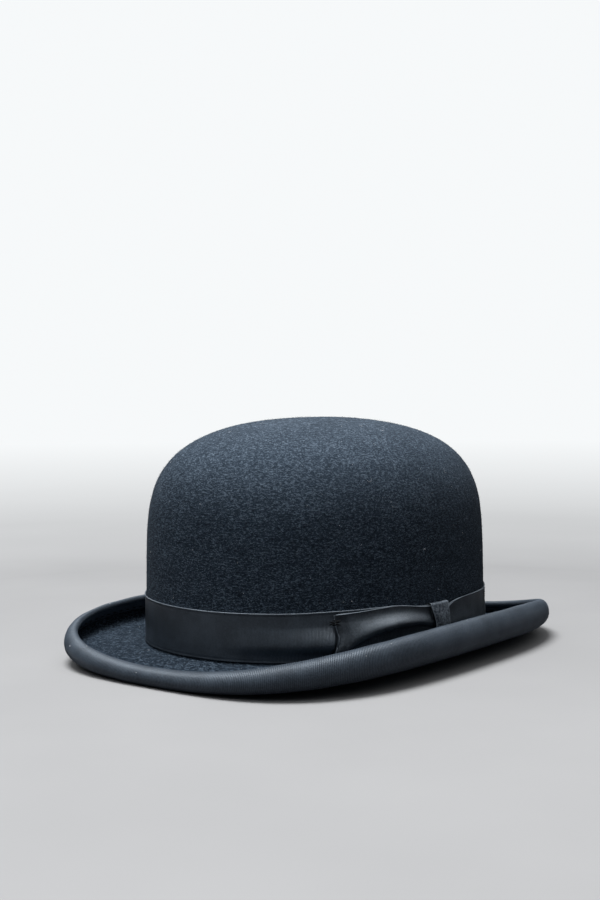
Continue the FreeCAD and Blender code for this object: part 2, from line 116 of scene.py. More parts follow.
def hump(value, middle, width):
    """A bell curve: one at its middle, and nearly nought two widths away."""
    return np.exp(-((value - middle) / width) ** 2)


def line_length(line, whole=False):
    steps = np.roll(line, -1, 0) - line if whole else np.diff(line, axis=0)
    return float(np.linalg.norm(steps, axis=1).sum())


def oval_radius(angle, half_width, half_length, power):
    across = np.abs(np.cos(angle)) / half_width
    along = np.abs(np.sin(angle)) / half_length
    return (across ** power + along ** power) ** (-1.0 / power)


def crown_radius(angle):
    return oval_radius(angle, CROWN_HALF_WIDTH, CROWN_HALF_LENGTH, CROWN_PLAN_POWER)


def lip_radius(angle):
    return oval_radius(angle, LIP_HALF_WIDTH, LIP_HALF_LENGTH, LIP_PLAN_POWER)


def side_share(angle):
    return (lip_radius(angle) * np.cos(angle) / LIP_HALF_WIDTH) ** 2


def break_height(angle):
    return BREAK_HEIGHT + BREAK_SIDE_RISE * np.cos(angle) ** 2


def dome_height(angle, spread, inset):
    """How high the dome is at a share of its radius, inside its outer face by inset."""
    foot = break_height(angle) - inset
    rise = HAT_HEIGHT - inset - foot
    return foot + rise * (1 - spread ** SHOULDER_POWER) ** (1 / RISE_POWER)


def even_angles(radius_at, count, start=0.0, end=TURN):
    """Angles spaced evenly along an oval. A full turn leaves out the last, which is the first again."""
    fine_steps = 8001
    dense = np.linspace(start, end, fine_steps)
    x = radius_at(dense) * np.cos(dense)
    y = radius_at(dense) * np.sin(dense)
    walked = np.concatenate([[0], np.cumsum(np.hypot(np.diff(x), np.diff(y)))])
    shares = np.linspace(0, 1, count, endpoint=end - start < TURN)
    return np.interp(shares * walked[-1], walked, dense)


def place(angle, reach, height):
    """Points at angles round the hat, from how far out and how high they are."""
    angle, reach, height = np.broadcast_arrays(angle, reach, height)
    return np.stack([reach * np.cos(angle), reach * np.sin(angle), height], -1)


def wall_reach(angle, height, inset=0.0):
    """How far the crown's wall stands out at a height, inside its outer face by inset."""
    deep = np.maximum(inset, 0)
    foot = break_height(angle) - deep
    rise = HAT_HEIGHT - deep - foot
    level = np.clip((height - foot) / rise, 0, 1)
    return (crown_radius(angle) - inset) * (1 - level ** RISE_POWER) ** (1 / SHOULDER_POWER)


def inside_wall(angle, height, inset):
    """Points at heights, inside the crown's outer face by inset."""
    return place(angle, wall_reach(angle, height, inset), height)


def on_wall(angle, above, lift):
    """Points near the crown's wall: above the break, and off the felt by a lift."""
    return inside_wall(angle, break_height(angle) + above, -lift)


def ellipse_arc(middle, radii, start, end, count):
    """Part of an ellipse for each angle, leaving out its first point: reaches and heights."""
    turn = np.linspace(start, end, count + 1)[None, 1:]
    return middle[0] + radii[0] * np.cos(turn), middle[1] + radii[1] * np.sin(turn)


def felt_middle(angles, columns):
    """The middle of the felt, from the crown's top to the brim's lip, as reach and height."""
    dome_columns, wall_columns, edge_columns, brim_columns, foot_columns, lip_columns = columns
    angle = angles[:, None]
    half = FELT / 2
    skin = half + GAP + RIBBON
    wall = crown_radius(angle) - half
    foot = break_height(angle) - half
    rise = HAT_HEIGHT - half - foot

    spread = SHOULDER_SPREAD * np.linspace(0, 1, dome_columns + 1)[None, 1:]
    dome = wall * spread, dome_height(angle, spread, half)
    top_level = (1 - SHOULDER_SPREAD ** SHOULDER_POWER) ** (1 / RISE_POWER)
    last_level = (BREAK_RADIUS + BREAK_CLEAR) / rise
    level = top_level + (last_level - top_level) * np.linspace(0, 1, wall_columns + 1)[None, 1:]
    side = wall * (1 - level ** RISE_POWER) ** (1 / SHOULDER_POWER), foot + rise * level
    edge = ellipse_arc((wall + BREAK_RADIUS, foot + BREAK_RADIUS), (BREAK_RADIUS, BREAK_RADIUS),
                       math.pi, 1.5 * math.pi, edge_columns)

    share = side_share(angle)
    lip = lip_radius(angle)
    depth = CURL_DEPTH + (CURL_SIDE_DEPTH - CURL_DEPTH) * share
    middle = LIP_HEIGHT + LIP_SIDE_RISE * share - depth / 2
    half_depth = depth / 2 - skin
    foot_width = CURL_FOOT_SHARE * depth - skin
    bulge = CURL_BULGE - skin
    heel = lip + bulge - foot_width
    start_reach, start_height = edge[0][:, -1:], edge[1][:, -1:]
    step = np.linspace(0, 1, brim_columns + 1)[None, 1:]
    brim = (start_reach + (heel - start_reach) * step,
            start_height + (middle - half_depth - start_height) * smooth(step))
    under = ellipse_arc((heel, middle), (foot_width, half_depth), -math.pi / 2, 0, foot_columns)
    over = ellipse_arc((lip, middle), (bulge, half_depth), 0, math.pi / 2, lip_columns)
    parts = (dome, side, edge, brim, under, over)
    return np.stack([np.concatenate([part[axis] for part in parts], 1) for axis in (0, 1)], -1)


def line_directions(line):
    ahead = np.gradient(line, axis=1)
    return ahead / np.linalg.norm(ahead, axis=-1, keepdims=True)


def shifted(line, distance):
    """Lines moved sideways, towards the hat's upper and outer face if distance is positive."""
    ahead = line_directions(line)
    return line + distance * np.stack([-ahead[..., 1], ahead[..., 0]], -1)


def round_end(line, distance, count):
    """A half circle round each line's last point, from its upper face to its lower face."""
    ahead = line_directions(line)[:, -1:]
    side = np.stack([-ahead[..., 1], ahead[..., 0]], -1)
    turn = (math.pi * np.arange(1, count + 1) / (count + 1))[None, :, None]
    return line[:, -1:] + distance * (np.sin(turn) * ahead + np.cos(turn) * side)


def last_stretch(line, length, count):
    """The last part of each line, as evenly spaced points that end at its end."""
    steps = np.linalg.norm(np.diff(line, axis=1), axis=-1)
    walked = np.concatenate([np.zeros((len(line), 1)), np.cumsum(steps, 1)], 1)
    result = np.empty((len(line), count, 2))
    for row in range(len(line)):
        wanted = walked[row, -1] - np.linspace(length, 0, count)
        for axis in (0, 1):
            result[row, :, axis] = np.interp(wanted, walked[row], line[row, :, axis])
    return result


# ---- Meshes ----

def unit(vectors):
    length = np.linalg.norm(vectors, axis=-1, keepdims=True)
    return vectors / np.maximum(length, 1e-12)


def grid_normals(points, round_rows, round_columns):
    """The direction of each grid point's surface."""
    def slope(axis, is_round):
        if is_round:
            return np.roll(points, -1, axis) - np.roll(points, 1, axis)
        return np.gradient(points, axis=axis)
    return unit(np.cross(slope(0, round_rows), slope(1, round_columns)))


def bumpy(points, scale, amount, seed):
    """Uneven heights at the points, from smooth noise with features about scale wide."""
    offset = Vector((seed * 3.7, seed * 1.3, seed * 7.1))
    flat = points.reshape(-1, 3) / scale
    values = [noise.noise(Vector(point) + offset) for point in flat]
    return amount * np.array(values).reshape(points.shape[:-1])


def new_piece(name, points, faces, uvs, look):
    material, slot_name = look
    mesh = bpy.data.meshes.new(name)
    mesh.from_pydata(points.reshape(-1, 3).tolist(), [], faces)
    if uvs is not None:
        layer = mesh.uv_layers.new(name="UVMap")
        layer.data.foreach_set("uv", np.asarray(uvs, np.float32).ravel())
    mesh.polygons.foreach_set("use_smooth", np.ones(len(mesh.polygons), bool))
    mesh.materials.append(material)
    piece = bpy.data.objects.new(name, mesh)
    bpy.context.scene.collection.objects.link(piece)
    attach(piece, "root")
    return piece


def grid_piece(name, points, look, round_rows=False, round_columns=False, flip=False,
               capped=(False, False)):
    """A quad mesh over a grid. Rows are steps round the hat, and columns steps along a profile.
    Its UV is the share of the way along the rows, and the metres along each profile."""
    rows, columns = points.shape[:2]
    index = np.arange(rows * columns).reshape(rows, columns)
    along = np.linalg.norm(np.diff(points, axis=1), axis=-1)
    metres = np.concatenate([np.zeros((rows, 1)), np.cumsum(along, 1)], 1)
    share = np.linspace(0, 1, rows + 1 if round_rows else rows)
    if round_columns:
        closing = np.linalg.norm(points[:, :1] - points[:, -1:], axis=-1)
        metres = np.concatenate([metres, metres[:, -1:] + closing], 1)
        index = np.concatenate([index, index[:, :1]], 1)
    if round_rows:
        metres = np.concatenate([metres, metres[:1]], 0)
        index = np.concatenate([index, index[:1]], 0)
    uv = np.stack([np.broadcast_to(share[:, None], metres.shape), metres], -1)

    def corners(values):
        four = [values[:-1, :-1], values[1:, :-1], values[1:, 1:], values[:-1, 1:]]
        if flip:
            four.reverse()
        return np.stack(four, 2)
    faces = corners(index).reshape(-1, 4).tolist()
    uvs = corners(uv).reshape(-1, 2)
    points = points.reshape(-1, 3)
    for end, wanted in zip((0, -1), capped):
        if not wanted:
            continue
        ring = index[:, end].tolist()
        points = np.vstack([points, points[ring[:-1]].mean(0)])
        centre = len(points) - 1
        for pair in zip(ring[:-1], ring[1:]):
            here, there = pair if (end == 0) == flip else pair[::-1]
            faces.append([here, there, centre])
        uvs = np.vstack([uvs, np.zeros((3 * (len(ring) - 1), 2))])
    return new_piece(name, points, faces, uvs, look)


def tube_piece(name, paths, radii, sides, look):
    """Many thin threads in one mesh. Paths is threads by points, and radii is for each point."""
    paths = np.asarray(paths, float)
    radii = np.broadcast_to(radii, paths.shape[:2])
    ahead = unit(np.gradient(paths, axis=1))
    up = np.where(np.abs(ahead[..., 2:]) > 0.9, [1.0, 0.0, 0.0], [0.0, 0.0, 1.0])
    side = unit(np.cross(ahead, up))
    other = np.cross(side, ahead)
    turn = TURN * np.arange(sides) / sides
    ring = np.cos(turn)[:, None] * side[..., None, :] + np.sin(turn)[:, None] * other[..., None, :]
    points = paths[..., None, :] + radii[..., None, None] * ring
    threads, steps = radii.shape
    index = np.arange(threads * steps * sides).reshape(threads, steps, sides)
    index = np.concatenate([index, index[..., :1]], -1)
    faces = np.stack([index[:, :-1, :-1], index[:, 1:, :-1], index[:, 1:, 1:], index[:, :-1, 1:]], -1)
    return new_piece(name, points, faces.reshape(-1, 4)[:, ::-1].tolist(), None, look)


def stitches(name, paths, radii, look, node):
    """Round threads that stand for a CAD node."""
    piece = tube_piece(name, paths, radii, 8, look)
    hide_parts(node)


# ---- Materials ----

def made_node(tree, kind, inputs=None, **settings):
    """A shader node. An input given as a socket is linked, and any other value is set."""
    node = tree.nodes.new(kind)
    for name, value in settings.items():
        setattr(node, name, value)
    for name, value in (inputs or {}).items():
        socket = node.inputs[name]
        if isinstance(value, bpy.types.NodeSocket):
            tree.links.new(value, socket)
        else:
            socket.default_value = value
    return node


def new_material(name, **values):
    """A material and its main shader, with the shader's own values set."""
    material = bpy.data.materials.new(name)
    material.use_nodes = True
    tree = material.node_tree
    shader = tree.nodes["Principled BSDF"]
    for key, value in values.items():
        shader.inputs[key.replace("_", " ")].default_value = value
    return material, tree, shader


def feed(tree, shader, **sockets):
    """Link values that vary over the surface to the shader."""
    for key, value in sockets.items():
        tree.links.new(value, shader.inputs[key.replace("_", " ")])


def arithmetic(tree, operation, first, second=0.0):
    return made_node(tree, "ShaderNodeMath", {0: first, 1: second}, operation=operation).outputs[0]


def weighted(tree, *parts):
    """The sum of values, each times its weight."""
    shares = [arithmetic(tree, "MULTIPLY", value, weight) for value, weight in parts]
    total = shares[0]
    for share in shares[1:]:
        total = arithmetic(tree, "ADD", total, share)
    return total


def object_place(tree, stretch=(1, 1, 1)):
    place_node = made_node(tree, "ShaderNodeTexCoord")
    scaled = made_node(tree, "ShaderNodeVectorMath", {0: place_node.outputs["Object"], 1: stretch},
                       operation="MULTIPLY")
    return scaled.outputs[0]


def noise_value(tree, where, scale, detail=2.0, roughness=0.5):
    node = made_node(tree, "ShaderNodeTexNoise",
                     {"Vector": where, "Scale": scale, "Detail": detail, "Roughness": roughness})
    return node.outputs["Fac"]


def colours(tree, amount, *stops):
    """A colour ramp: stops are (place, colour)."""
    ramp = made_node(tree, "ShaderNodeValToRGB", {"Fac": amount})
    elements = ramp.color_ramp.elements
    while len(elements) < len(stops):
        elements.new(0.5)
    for element, (where, colour) in zip(elements, stops):
        element.position = where
        element.color = (*colour, 1)
    return ramp.outputs["Color"]


def bump(tree, height, distance, strength=1.0, under=None):
    inputs = {"Height": height, "Distance": distance, "Strength": strength}
    if under is not None:
        inputs["Normal"] = under
    return made_node(tree, "ShaderNodeBump", inputs).outputs["Normal"]


def rib_height(tree, count):
    """Ribs across the rows of a grid piece: count of them along its whole length."""
    uv = made_node(tree, "ShaderNodeTexCoord").outputs["UV"]
    parts = made_node(tree, "ShaderNodeSeparateXYZ", {"Vector": uv})
    turns = arithmetic(tree, "MULTIPLY", parts.outputs["X"], count * TURN)
    return arithmetic(tree, "COSINE", turns)


# The nap's three tones, and painted light: the felt is painted darker low down and lighter, with a painted
# highlight, towards the top of the crown, as overhead light and sheen would make it.
NAP_TONES = ((0.42, (0.0075, 0.0135, 0.0215)), (0.54, (0.028, 0.041, 0.059)), (0.65, (0.140, 0.178, 0.222)))
PAINTED_LIGHT_BY_HEIGHT = ((0.60, (0.42, 0.455, 0.48)), (0.85, (0.70, 0.72, 0.735)))
PAINTED_TOP_HIGHLIGHT = ((0.60, (0, 0, 0)), (0.85, (0.010, 0.0130, 0.0165)), (1.0, (0.022, 0.027, 0.033)))


def felt_material():
    """Black felt, with painted light: darker low down and lighter towards the top of the crown."""
    material, tree, shader = new_material(
        "felt", Roughness=1.0, Specular_IOR_Level=0.08, Sheen_Weight=0.03, Sheen_Roughness=0.4,
        Sheen_Tint=(0.68, 0.80, 0.95, 1))
    where = object_place(tree, (0.75, 0.75, 2.0))
    clumps = noise_value(tree, where, 620, 3, 0.65)
    tufts = noise_value(tree, where, 1500, 2, 0.6)
    patches = noise_value(tree, where, 55, 2, 0.5)
    nap = colours(tree, weighted(tree, (clumps, 0.45), (tufts, 0.55), (patches, 0.06)), *NAP_TONES)
    # Painted light: the colour is darker low on the crown and lighter towards its top, where overhead light
    # and sheen fall.
    height = made_node(tree, "ShaderNodeSeparateXYZ", {"Vector": object_place(tree)}).outputs["Z"]
    height = arithmetic(tree, "DIVIDE", height, HAT_HEIGHT)
    colour = made_node(tree, "ShaderNodeVectorMath",
                       {0: nap, 1: colours(tree, height, *PAINTED_LIGHT_BY_HEIGHT), 2: colours(tree, height, *PAINTED_TOP_HIGHLIGHT)},
                       operation="MULTIPLY_ADD").outputs["Vector"]
    coarse = bump(tree, clumps, 0.7 * MM, 0.7)
    feed(tree, shader, Base_Color=colour, Normal=bump(tree, tufts, 0.4 * MM, 0.7, coarse))
    return material


def fibre_material():
    material, tree, shader = new_material("felt_fibre", Roughness=0.8, Specular_IOR_Level=0.2)
    amount = noise_value(tree, object_place(tree), 900, 1)
    feed(tree, shader, Base_Color=colours(tree, amount, (0.35, (0.012, 0.018, 0.026)),
                                          (0.7, (0.12, 0.148, 0.18))))
    return material


def ribbon_material(name, dark, light, ribs, rib_depth, roughness=0.5, sheen=0.4, weave=1500,
                    painted_groove_shade=0.05, gloss=0.62):
    """Ribbon with a fine weave, and ribs across it unless ribs is nought, with painted shade in the grooves
    between the ribs.
    """
    material, tree, shader = new_material(
        name, Roughness=roughness, Specular_IOR_Level=gloss, Specular_Tint=(0.80, 0.90, 1.0, 1),
        Sheen_Weight=sheen, Sheen_Roughness=0.3, Sheen_Tint=(0.75, 0.85, 0.97, 1))
    where = object_place(tree)
    height = threads = noise_value(tree, where, weave, 2, 0.6)
    parts = [(threads, 0.55), (noise_value(tree, where, 90, 3, 0.6), 0.45)]
    if ribs:
        ridge = rib_height(tree, ribs)
        # Painted shade: the colour is darker in the grooves between the ribs.
        parts.append((ridge, painted_groove_shade))
        height = weighted(tree, (threads, 0.5), (ridge, 0.5))
    colour = colours(tree, weighted(tree, *parts), (0.4, dark), (0.62, light))
    feed(tree, shader, Base_Color=colour, Normal=bump(tree, height, rib_depth))
    return material


def leather_material():
    material, tree, shader = new_material(
        "sweatband_leather", Roughness=0.5, Coat_Weight=0.12, Coat_Roughness=0.35)
    where = object_place(tree)
    cells = made_node(tree, "ShaderNodeTexVoronoi", {"Vector": where, "Scale": 1300.0},
                      feature="DISTANCE_TO_EDGE").outputs["Distance"]
    patches = noise_value(tree, where, 45, 4, 0.6)
    colour = colours(tree, patches, (0.3, (0.105, 0.047, 0.02)), (0.55, (0.19, 0.092, 0.042)),
                     (0.75, (0.26, 0.14, 0.07)))
    rough = arithmetic(tree, "ADD", 0.35, arithmetic(tree, "MULTIPLY", patches, 0.3))
    feed(tree, shader, Base_Color=colour, Roughness=rough, Normal=bump(tree, cells, 0.25 * MM, 0.5))
    return material


def satin_material():
    material, tree, shader = new_material(
        "satin", Roughness=0.38, Anisotropic=0.5, Sheen_Weight=0.35, Sheen_Roughness=0.3)
    threads = noise_value(tree, object_place(tree, (1, 1, 0.2)), 2200, 1)
    patches = noise_value(tree, object_place(tree), 30, 3)
    colour = colours(tree, weighted(tree, (threads, 0.4), (patches, 0.6)),
                     (0.3, (0.50, 0.46, 0.385)), (0.7, (0.66, 0.62, 0.54)))
    feed(tree, shader, Base_Color=colour, Normal=bump(tree, threads, 0.12 * MM, 0.5))
    return material


def plain_material(name, dark, light, scale, roughness, depth=0.1 * MM, **values):
    """Colour that varies a little, with a fine bump: for thread, card, cord, tape and reed."""
    material, tree, shader = new_material(name, Roughness=roughness, **values)
    amount = noise_value(tree, object_place(tree), scale, 3, 0.6)
    feed(tree, shader, Base_Color=colours(tree, amount, (0.35, dark), (0.65, light)),
         Normal=bump(tree, amount, depth, 0.6))
    return material


def film_material():
    material, tree, shader = new_material(
        "clear_film", Roughness=0.12, Alpha=0.28, IOR=1.46, Base_Color=(0.86, 0.88, 0.86, 1))
    ripple = noise_value(tree, object_place(tree), 60, 3, 0.6)
    feed(tree, shader, Normal=bump(tree, ripple, 0.6 * MM, 0.5))
    return material


BINDING_RIBS = 920
LAP_RIBS = 10
BAND_RIBS = 900
BOW_RIBS = 150
BINDING_TONES = (0.0125, 0.0180, 0.026), (0.046, 0.061, 0.080)
BINDING_SHINE = {"roughness": 0.50, "sheen": 0.1, "painted_groove_shade": 0.12, "gloss": 0.64}

# Each look is a material and the name of its slot.
felt = felt_material(), "felt"
fibre = fibre_material(), "felt"
binding_cloth = ribbon_material("binding_ribbon", *BINDING_TONES, BINDING_RIBS, 0.10 * MM,
                                **BINDING_SHINE), "binding_ribbon"
lap_cloth = ribbon_material("binding_lap_ribbon", *BINDING_TONES, LAP_RIBS, 0.05 * MM,
                            **BINDING_SHINE), "binding_ribbon"
band_cloth = ribbon_material("band_ribbon", (0.008, 0.0110, 0.0150), (0.026, 0.034, 0.044),
                             BAND_RIBS, 0.10 * MM, roughness=0.39, sheen=0.0, gloss=0.95), "band_ribbon"
# The bow is the band's own ribbon, painted lighter to stand in for the light on its puffed wings.
bow_cloth_painted_lighter = ribbon_material("bow_ribbon_painted_lighter", (0.012, 0.0155, 0.020), (0.044, 0.054, 0.065),
                            BOW_RIBS, 0.12 * MM, roughness=0.45, sheen=0.0, weave=950,
                            gloss=0.85), "band_ribbon"
# Much paler than the ribbons it edges: a painted highlight along the selvedges, the knot's edges and the
# wings' folds.
painted_highlight_cloth = ribbon_material("ribbon_edge_painted_highlight", (0.085, 0.103, 0.125), (0.175, 0.206, 0.238), 0,
                             0.05 * MM, roughness=0.6, sheen=0.1), "band_ribbon"
knot_cloth = ribbon_material("knot_ribbon", (0.008, 0.012, 0.018), (0.170, 0.200, 0.235),
                             0, 0.20 * MM, roughness=0.55, sheen=0.1, weave=800), "band_ribbon"
dark_thread = plain_material("dark_thread", (0.002, 0.0025, 0.003), (0.007, 0.008, 0.010), 2500, 0.8,
                             Specular_IOR_Level=0.2), "dark_thread"
pale_thread = plain_material("pale_thread", (0.50, 0.46, 0.38), (0.68, 0.64, 0.55), 2500, 0.6), "pale_thread"
leather_thread = plain_material("leather_thread", (0.12, 0.065, 0.03), (0.21, 0.12, 0.06), 2500,
                                0.5), "leather_thread"
lint = plain_material("lint", (0.30, 0.32, 0.35), (0.75, 0.77, 0.80), 2000, 0.9), "felt"
leather = leather_material(), "sweatband_leather"
satin = satin_material(), "satin"


# ---- Felt ----

FELT_ROWS = 690
FELT_UNDER_BINDING = 18
FIBRE_COUNT = 15000


def swept(angles, section):
    """Points of each angle's own profile, which holds reaches and heights."""
    return place(angles[:, None], section[..., 0], section[..., 1])


def felt_surface(angles, columns):
    """Points over the felt's outer face, and which way it faces."""
    points = swept(angles, shifted(felt_middle(angles, columns), FELT / 2))
    return points, -grid_normals(points, True, False)


def felt_body():
    angles = even_angles(lip_radius, FELT_ROWS)
    line = felt_middle(angles, OUTER_COLUMNS)
    under_line = felt_middle(angles, UNDER_COLUMNS)
    points = swept(angles, np.concatenate([shifted(line, FELT / 2), round_end(line, FELT / 2, 3),
                                           shifted(under_line, -FELT / 2)[:, ::-1]], 1))
    uneven = bumpy(points, 38 * MM, 0.35 * MM, 1) + bumpy(points, 6 * MM, 0.10 * MM, 2)
    uneven[:, line.shape[1] - FELT_UNDER_BINDING + 1:] = 0
    points = points - grid_normals(points, True, False) * uneven[..., None]
    piece = grid_piece("felt_hat_body", points, felt, round_rows=True, flip=True,
                       capped=(True, True))
    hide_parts("felt_body")


def felt_fibres():
    """Short loose fibres of the nap, lying close to the felt."""
    random = np.random.default_rng(11)
    points, normals = felt_surface(even_angles(lip_radius, 900), FIBRE_COLUMNS)
    spans = np.linalg.norm(np.roll(points, -1, 0) - points, axis=-1)
    steps = np.linalg.norm(np.gradient(points, axis=1), axis=-1)
    first, last = 2, sum(FIBRE_COLUMNS[:4])
    weight = (spans * steps)[:, first:last]
    chosen = random.choice(weight.size, FIBRE_COUNT, p=(weight / weight.sum()).ravel())
    row, column = np.unravel_index(chosen, weight.shape)
    spot, normal = points[row, column + first], normals[row, column + first]
    root = spot + random.normal(0, 0.3 * MM, (FIBRE_COUNT, 3))
    root -= normal * np.sum((root - spot) * normal, 1, keepdims=True)
    along = random.normal(0, 1, (FIBRE_COUNT, 3)) * [1, 1, 0.35]
    along = unit(along - normal * np.sum(along * normal, 1, keepdims=True))
    aside = np.cross(normal, along)
    length = random.uniform(0.7, 2.0, FIBRE_COUNT)[:, None] * MM
    bend = random.normal(0, 0.35, FIBRE_COUNT)[:, None]
    rise = random.uniform(0.05, 0.42, FIBRE_COUNT)[:, None]
    tip = root + length * (along + bend * aside + rise * normal)
    halfway = root + length * 0.5 * (along + 0.35 * bend * aside + 1.3 * rise * normal)
    paths = np.stack([root - 0.05 * MM * normal, halfway, tip], 1)
    tube_piece("felt_fibres", paths, np.array([0.028, 0.026, 0.006]) * MM, 3, fibre)


# ---- Binding ----

BINDING_ROWS_PER_RIB = 3
LAP_ROWS_PER_RIB = 4
LAP_HALF_ANGLE = 2.0 * DEGREE
RIB_DEPTH = 0.06 * MM


def binding_section(angles, base, inside, outside, steps):
    """A ribbon folded over the lip, as one face from its inner edge to its outer edge."""
    inner_steps, end_steps, outer_steps = steps
    top = base + RIBBON + GAP
    near = base + 0.7 * (RIBBON + GAP)
    middle = felt_middle(angles, LIP_COLUMNS)
    short_side = last_stretch(middle, inside, inner_steps)
    long_side = last_stretch(middle, outside, outer_steps)
    return swept(angles, np.concatenate([
        shifted(short_side, base)[:, :1], shifted(short_side, near)[:, :1],
        shifted(short_side, top), round_end(middle, top, end_steps), shifted(long_side, -top)[:, ::-1],
        shifted(long_side, -near)[:, :1], shifted(long_side, -base)[:, :1]], 1))


def rib_dips(rows, rows_per_rib):
    return RIB_DEPTH * (np.cos(TURN * np.arange(rows) / rows_per_rib) - 1)


def brim_binding():
    rows = BINDING_RIBS * BINDING_ROWS_PER_RIB
    angles = even_angles(lip_radius, rows)
    points = binding_section(angles, FELT / 2 + 0.02 * MM, BINDING_INSIDE, BINDING_OUTSIDE, (6, 9, 13))
    amount = rib_dips(rows, BINDING_ROWS_PER_RIB)[:, None] + bumpy(points, 14 * MM, 0.18 * MM, 3)
    amount[:, [0, -1]] = 0
    points = points - grid_normals(points, True, False) * amount[..., None]
    piece = grid_piece("brim_binding_ribbon", points, binding_cloth, round_rows=True, flip=True)
    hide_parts("brim_binding")
    round_lip = line_length(place(angles, lip_radius(angles), 0), whole=True)


def binding_lap():
    """The turned-over end of the binding at the middle of the back."""
    rows = LAP_RIBS * LAP_ROWS_PER_RIB + 1
    angles = np.linspace(BACK - LAP_HALF_ANGLE, BACK + LAP_HALF_ANGLE, rows)
    points = binding_section(angles, FELT / 2 + GAP + RIBBON, 3.5 * MM, 6.0 * MM, (8, 14, 12))
    amount = rib_dips(rows, LAP_ROWS_PER_RIB)
    amount[[0, -1]] -= RIBBON
    points = points - grid_normals(points, False, False) * amount[:, None, None]
    piece = grid_piece("brim_binding_lap_ribbon", points, lap_cloth, flip=True)
    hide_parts("brim_binding_lap")


def row_of_stitches(name, radius_at, point_at, look, node, pitch, length, skip=0.0):
    """Rounded stitches along a line that faces the hat's middle, with none within skip of the back."""
    line = point_at(even_angles(radius_at, 4000, BACK + skip, BACK + TURN - skip))
    walked = np.concatenate([[0], np.cumsum(np.linalg.norm(np.diff(line, axis=0), axis=1))])
    count = int(walked[-1] / pitch)
    begin = np.arange(count) * walked[-1] / count
    starts, ends = [np.stack([np.interp(where, walked, line[:, axis]) for axis in range(3)], 1)[:, None]
                    for where in (begin, begin + length)]
    share = np.linspace(0, 1, 7)[None, :, None]
    inwards = -unit(starts * [1, 1, 0])
    paths = starts + (ends - starts) * share
    paths = paths + 2 * THREAD_RADIUS * (np.sin(math.pi * share) - 0.6) * inwards
    radii = THREAD_RADIUS * np.array([0.05, 0.75, 1.0, 1.0, 1.0, 0.75, 0.05])
    stitches(name, paths, radii, look, node)


def binding_stitches():
    def point_at(angles):
        inner = last_stretch(felt_middle(angles, LIP_COLUMNS), BINDING_INSIDE - 1.5 * MM, 6)
        spot = shifted(inner, FELT / 2 + RIBBON + GAP + 0.1 * MM)[:, 0]
        return place(angles, spot[:, 0], spot[:, 1])
    row_of_stitches("binding_stitches", lip_radius, point_at, dark_thread, "binding_thread",
                    pitch=6 * MM, length=3.6 * MM, skip=4 * DEGREE)


# ---- Band and bow. Side is -1 for the front wing and 1 for the rear wing. ----

FRONT_FOLD = BOW_MIDDLE - KNOT_HALF_ANGLE - WING_ANGLE
REAR_OF_KNOT = BOW_MIDDLE + KNOT_HALF_ANGLE
DIP_BEFORE_KNOT = 2.7 * MM
DIP_BEHIND_KNOT = 1.9 * MM
DIP_AT_KNOT = 4.5 * MM
TACK_ABOVE = 21.3 * MM
FOLD_RADIUS = 0.9 * MM
WING_SAG = 1.5 * MM
WING_BASE = 2.05 * MM
WING_MIDDLE = 0.27
WING_ROUNDS_UNDER = 168 * DEGREE
WING_PUFF = {-1: 5.1 * MM, 1: 1.6 * MM}
WING_CORD = {-1: 0.26 * MM, 1: 0.18 * MM}
PUFF_HEIGHT = 4.2 * MM
PUFF_FADE = 34 * DEGREE
KNOT_FOOT = 3.0 * MM
KNOT_ROUND_END = 6.0 * MM
KNOT_PUFF = 4.9 * MM
KNOT_TOP_ANGLE = -8.65 * DEGREE
KNOT_SLANT = 2.2 * DEGREE
KNOT_RIB = 0.85 * MM


def signed(angle):
    return (angle + math.pi) % TURN - math.pi


def band_top(angle):
    """The band's upper edge. The knot pulls it down, most of all just behind it."""
    angle = signed(angle)
    before_knot = DIP_BEFORE_KNOT * smooth((angle + 31 * DEGREE) / (18 * DEGREE))
    past_knot = np.maximum(angle - REAR_OF_KNOT, 0)
    behind_knot = DIP_BEHIND_KNOT * (1 - smooth((angle - 40 * DEGREE) / (25 * DEGREE)))
    behind_knot = behind_knot + DIP_AT_KNOT * np.exp(-past_knot / (4.8 * DEGREE))
    return BAND_TOP - np.where(angle < BOW_MIDDLE, before_knot, behind_knot)


def fold_pull(above):
    """How far towards the knot a wing's outer fold is drawn: most at its middle and at the tack."""
    return 1.3 * DEGREE * hump(above, 13 * MM, 6.3 * MM) + 0.3 * DEGREE * hump(above, TACK_ABOVE, 0.9 * MM)


def band_creases(angle, above):
    """How far the band stands off: it puffs beside the bow's front fold, and fades to the front."""
    towards_front = np.clip((FRONT_FOLD - angle) / PUFF_FADE, 0, 1)
    fade = np.where(angle < FRONT_FOLD, (1 - towards_front) ** 1.2, 1.0)
    fade = np.where(angle > 60 * DEGREE, 0.0, fade)
    slope = smooth((22.0 * MM - above) / (12.5 * MM))
    rolled_under = 1 - smooth((9.5 * MM - above) / (5.5 * MM))
    ridge = PUFF_HEIGHT * slope * rolled_under + 0.3 * MM * hump(above, 21.5 * MM, 1.0 * MM)
    fold_edge = FRONT_FOLD + fold_pull(above) - 0.95 * DEGREE
    crevice = 1 - 0.85 * hump(angle, fold_edge, 0.32 * DEGREE)
    gone_behind = 1 - 0.8 * smooth((angle - fold_edge) / (3 * DEGREE))
    return fade * gone_behind * crevice * ridge


def strip_section(foot, top, base, steps):
    """A ribbon's cross-section as one face, with a bead and a groove by each edge: heights and lifts."""
    face = base + RIBBON
    edge = [base, base + 0.3 * RIBBON, face, face + 0.30 * MM, face - 0.12 * MM]
    from_edge = np.array([0.5, 0, 0.05, 0.45, 0.9]) * MM
    middle = np.linspace(foot + 1.3 * MM, top - 1.3 * MM, steps)
    return (np.concatenate([foot + from_edge, middle, (top - from_edge)[::-1]]),
            np.concatenate([edge, np.full(steps, face), edge[::-1]]))


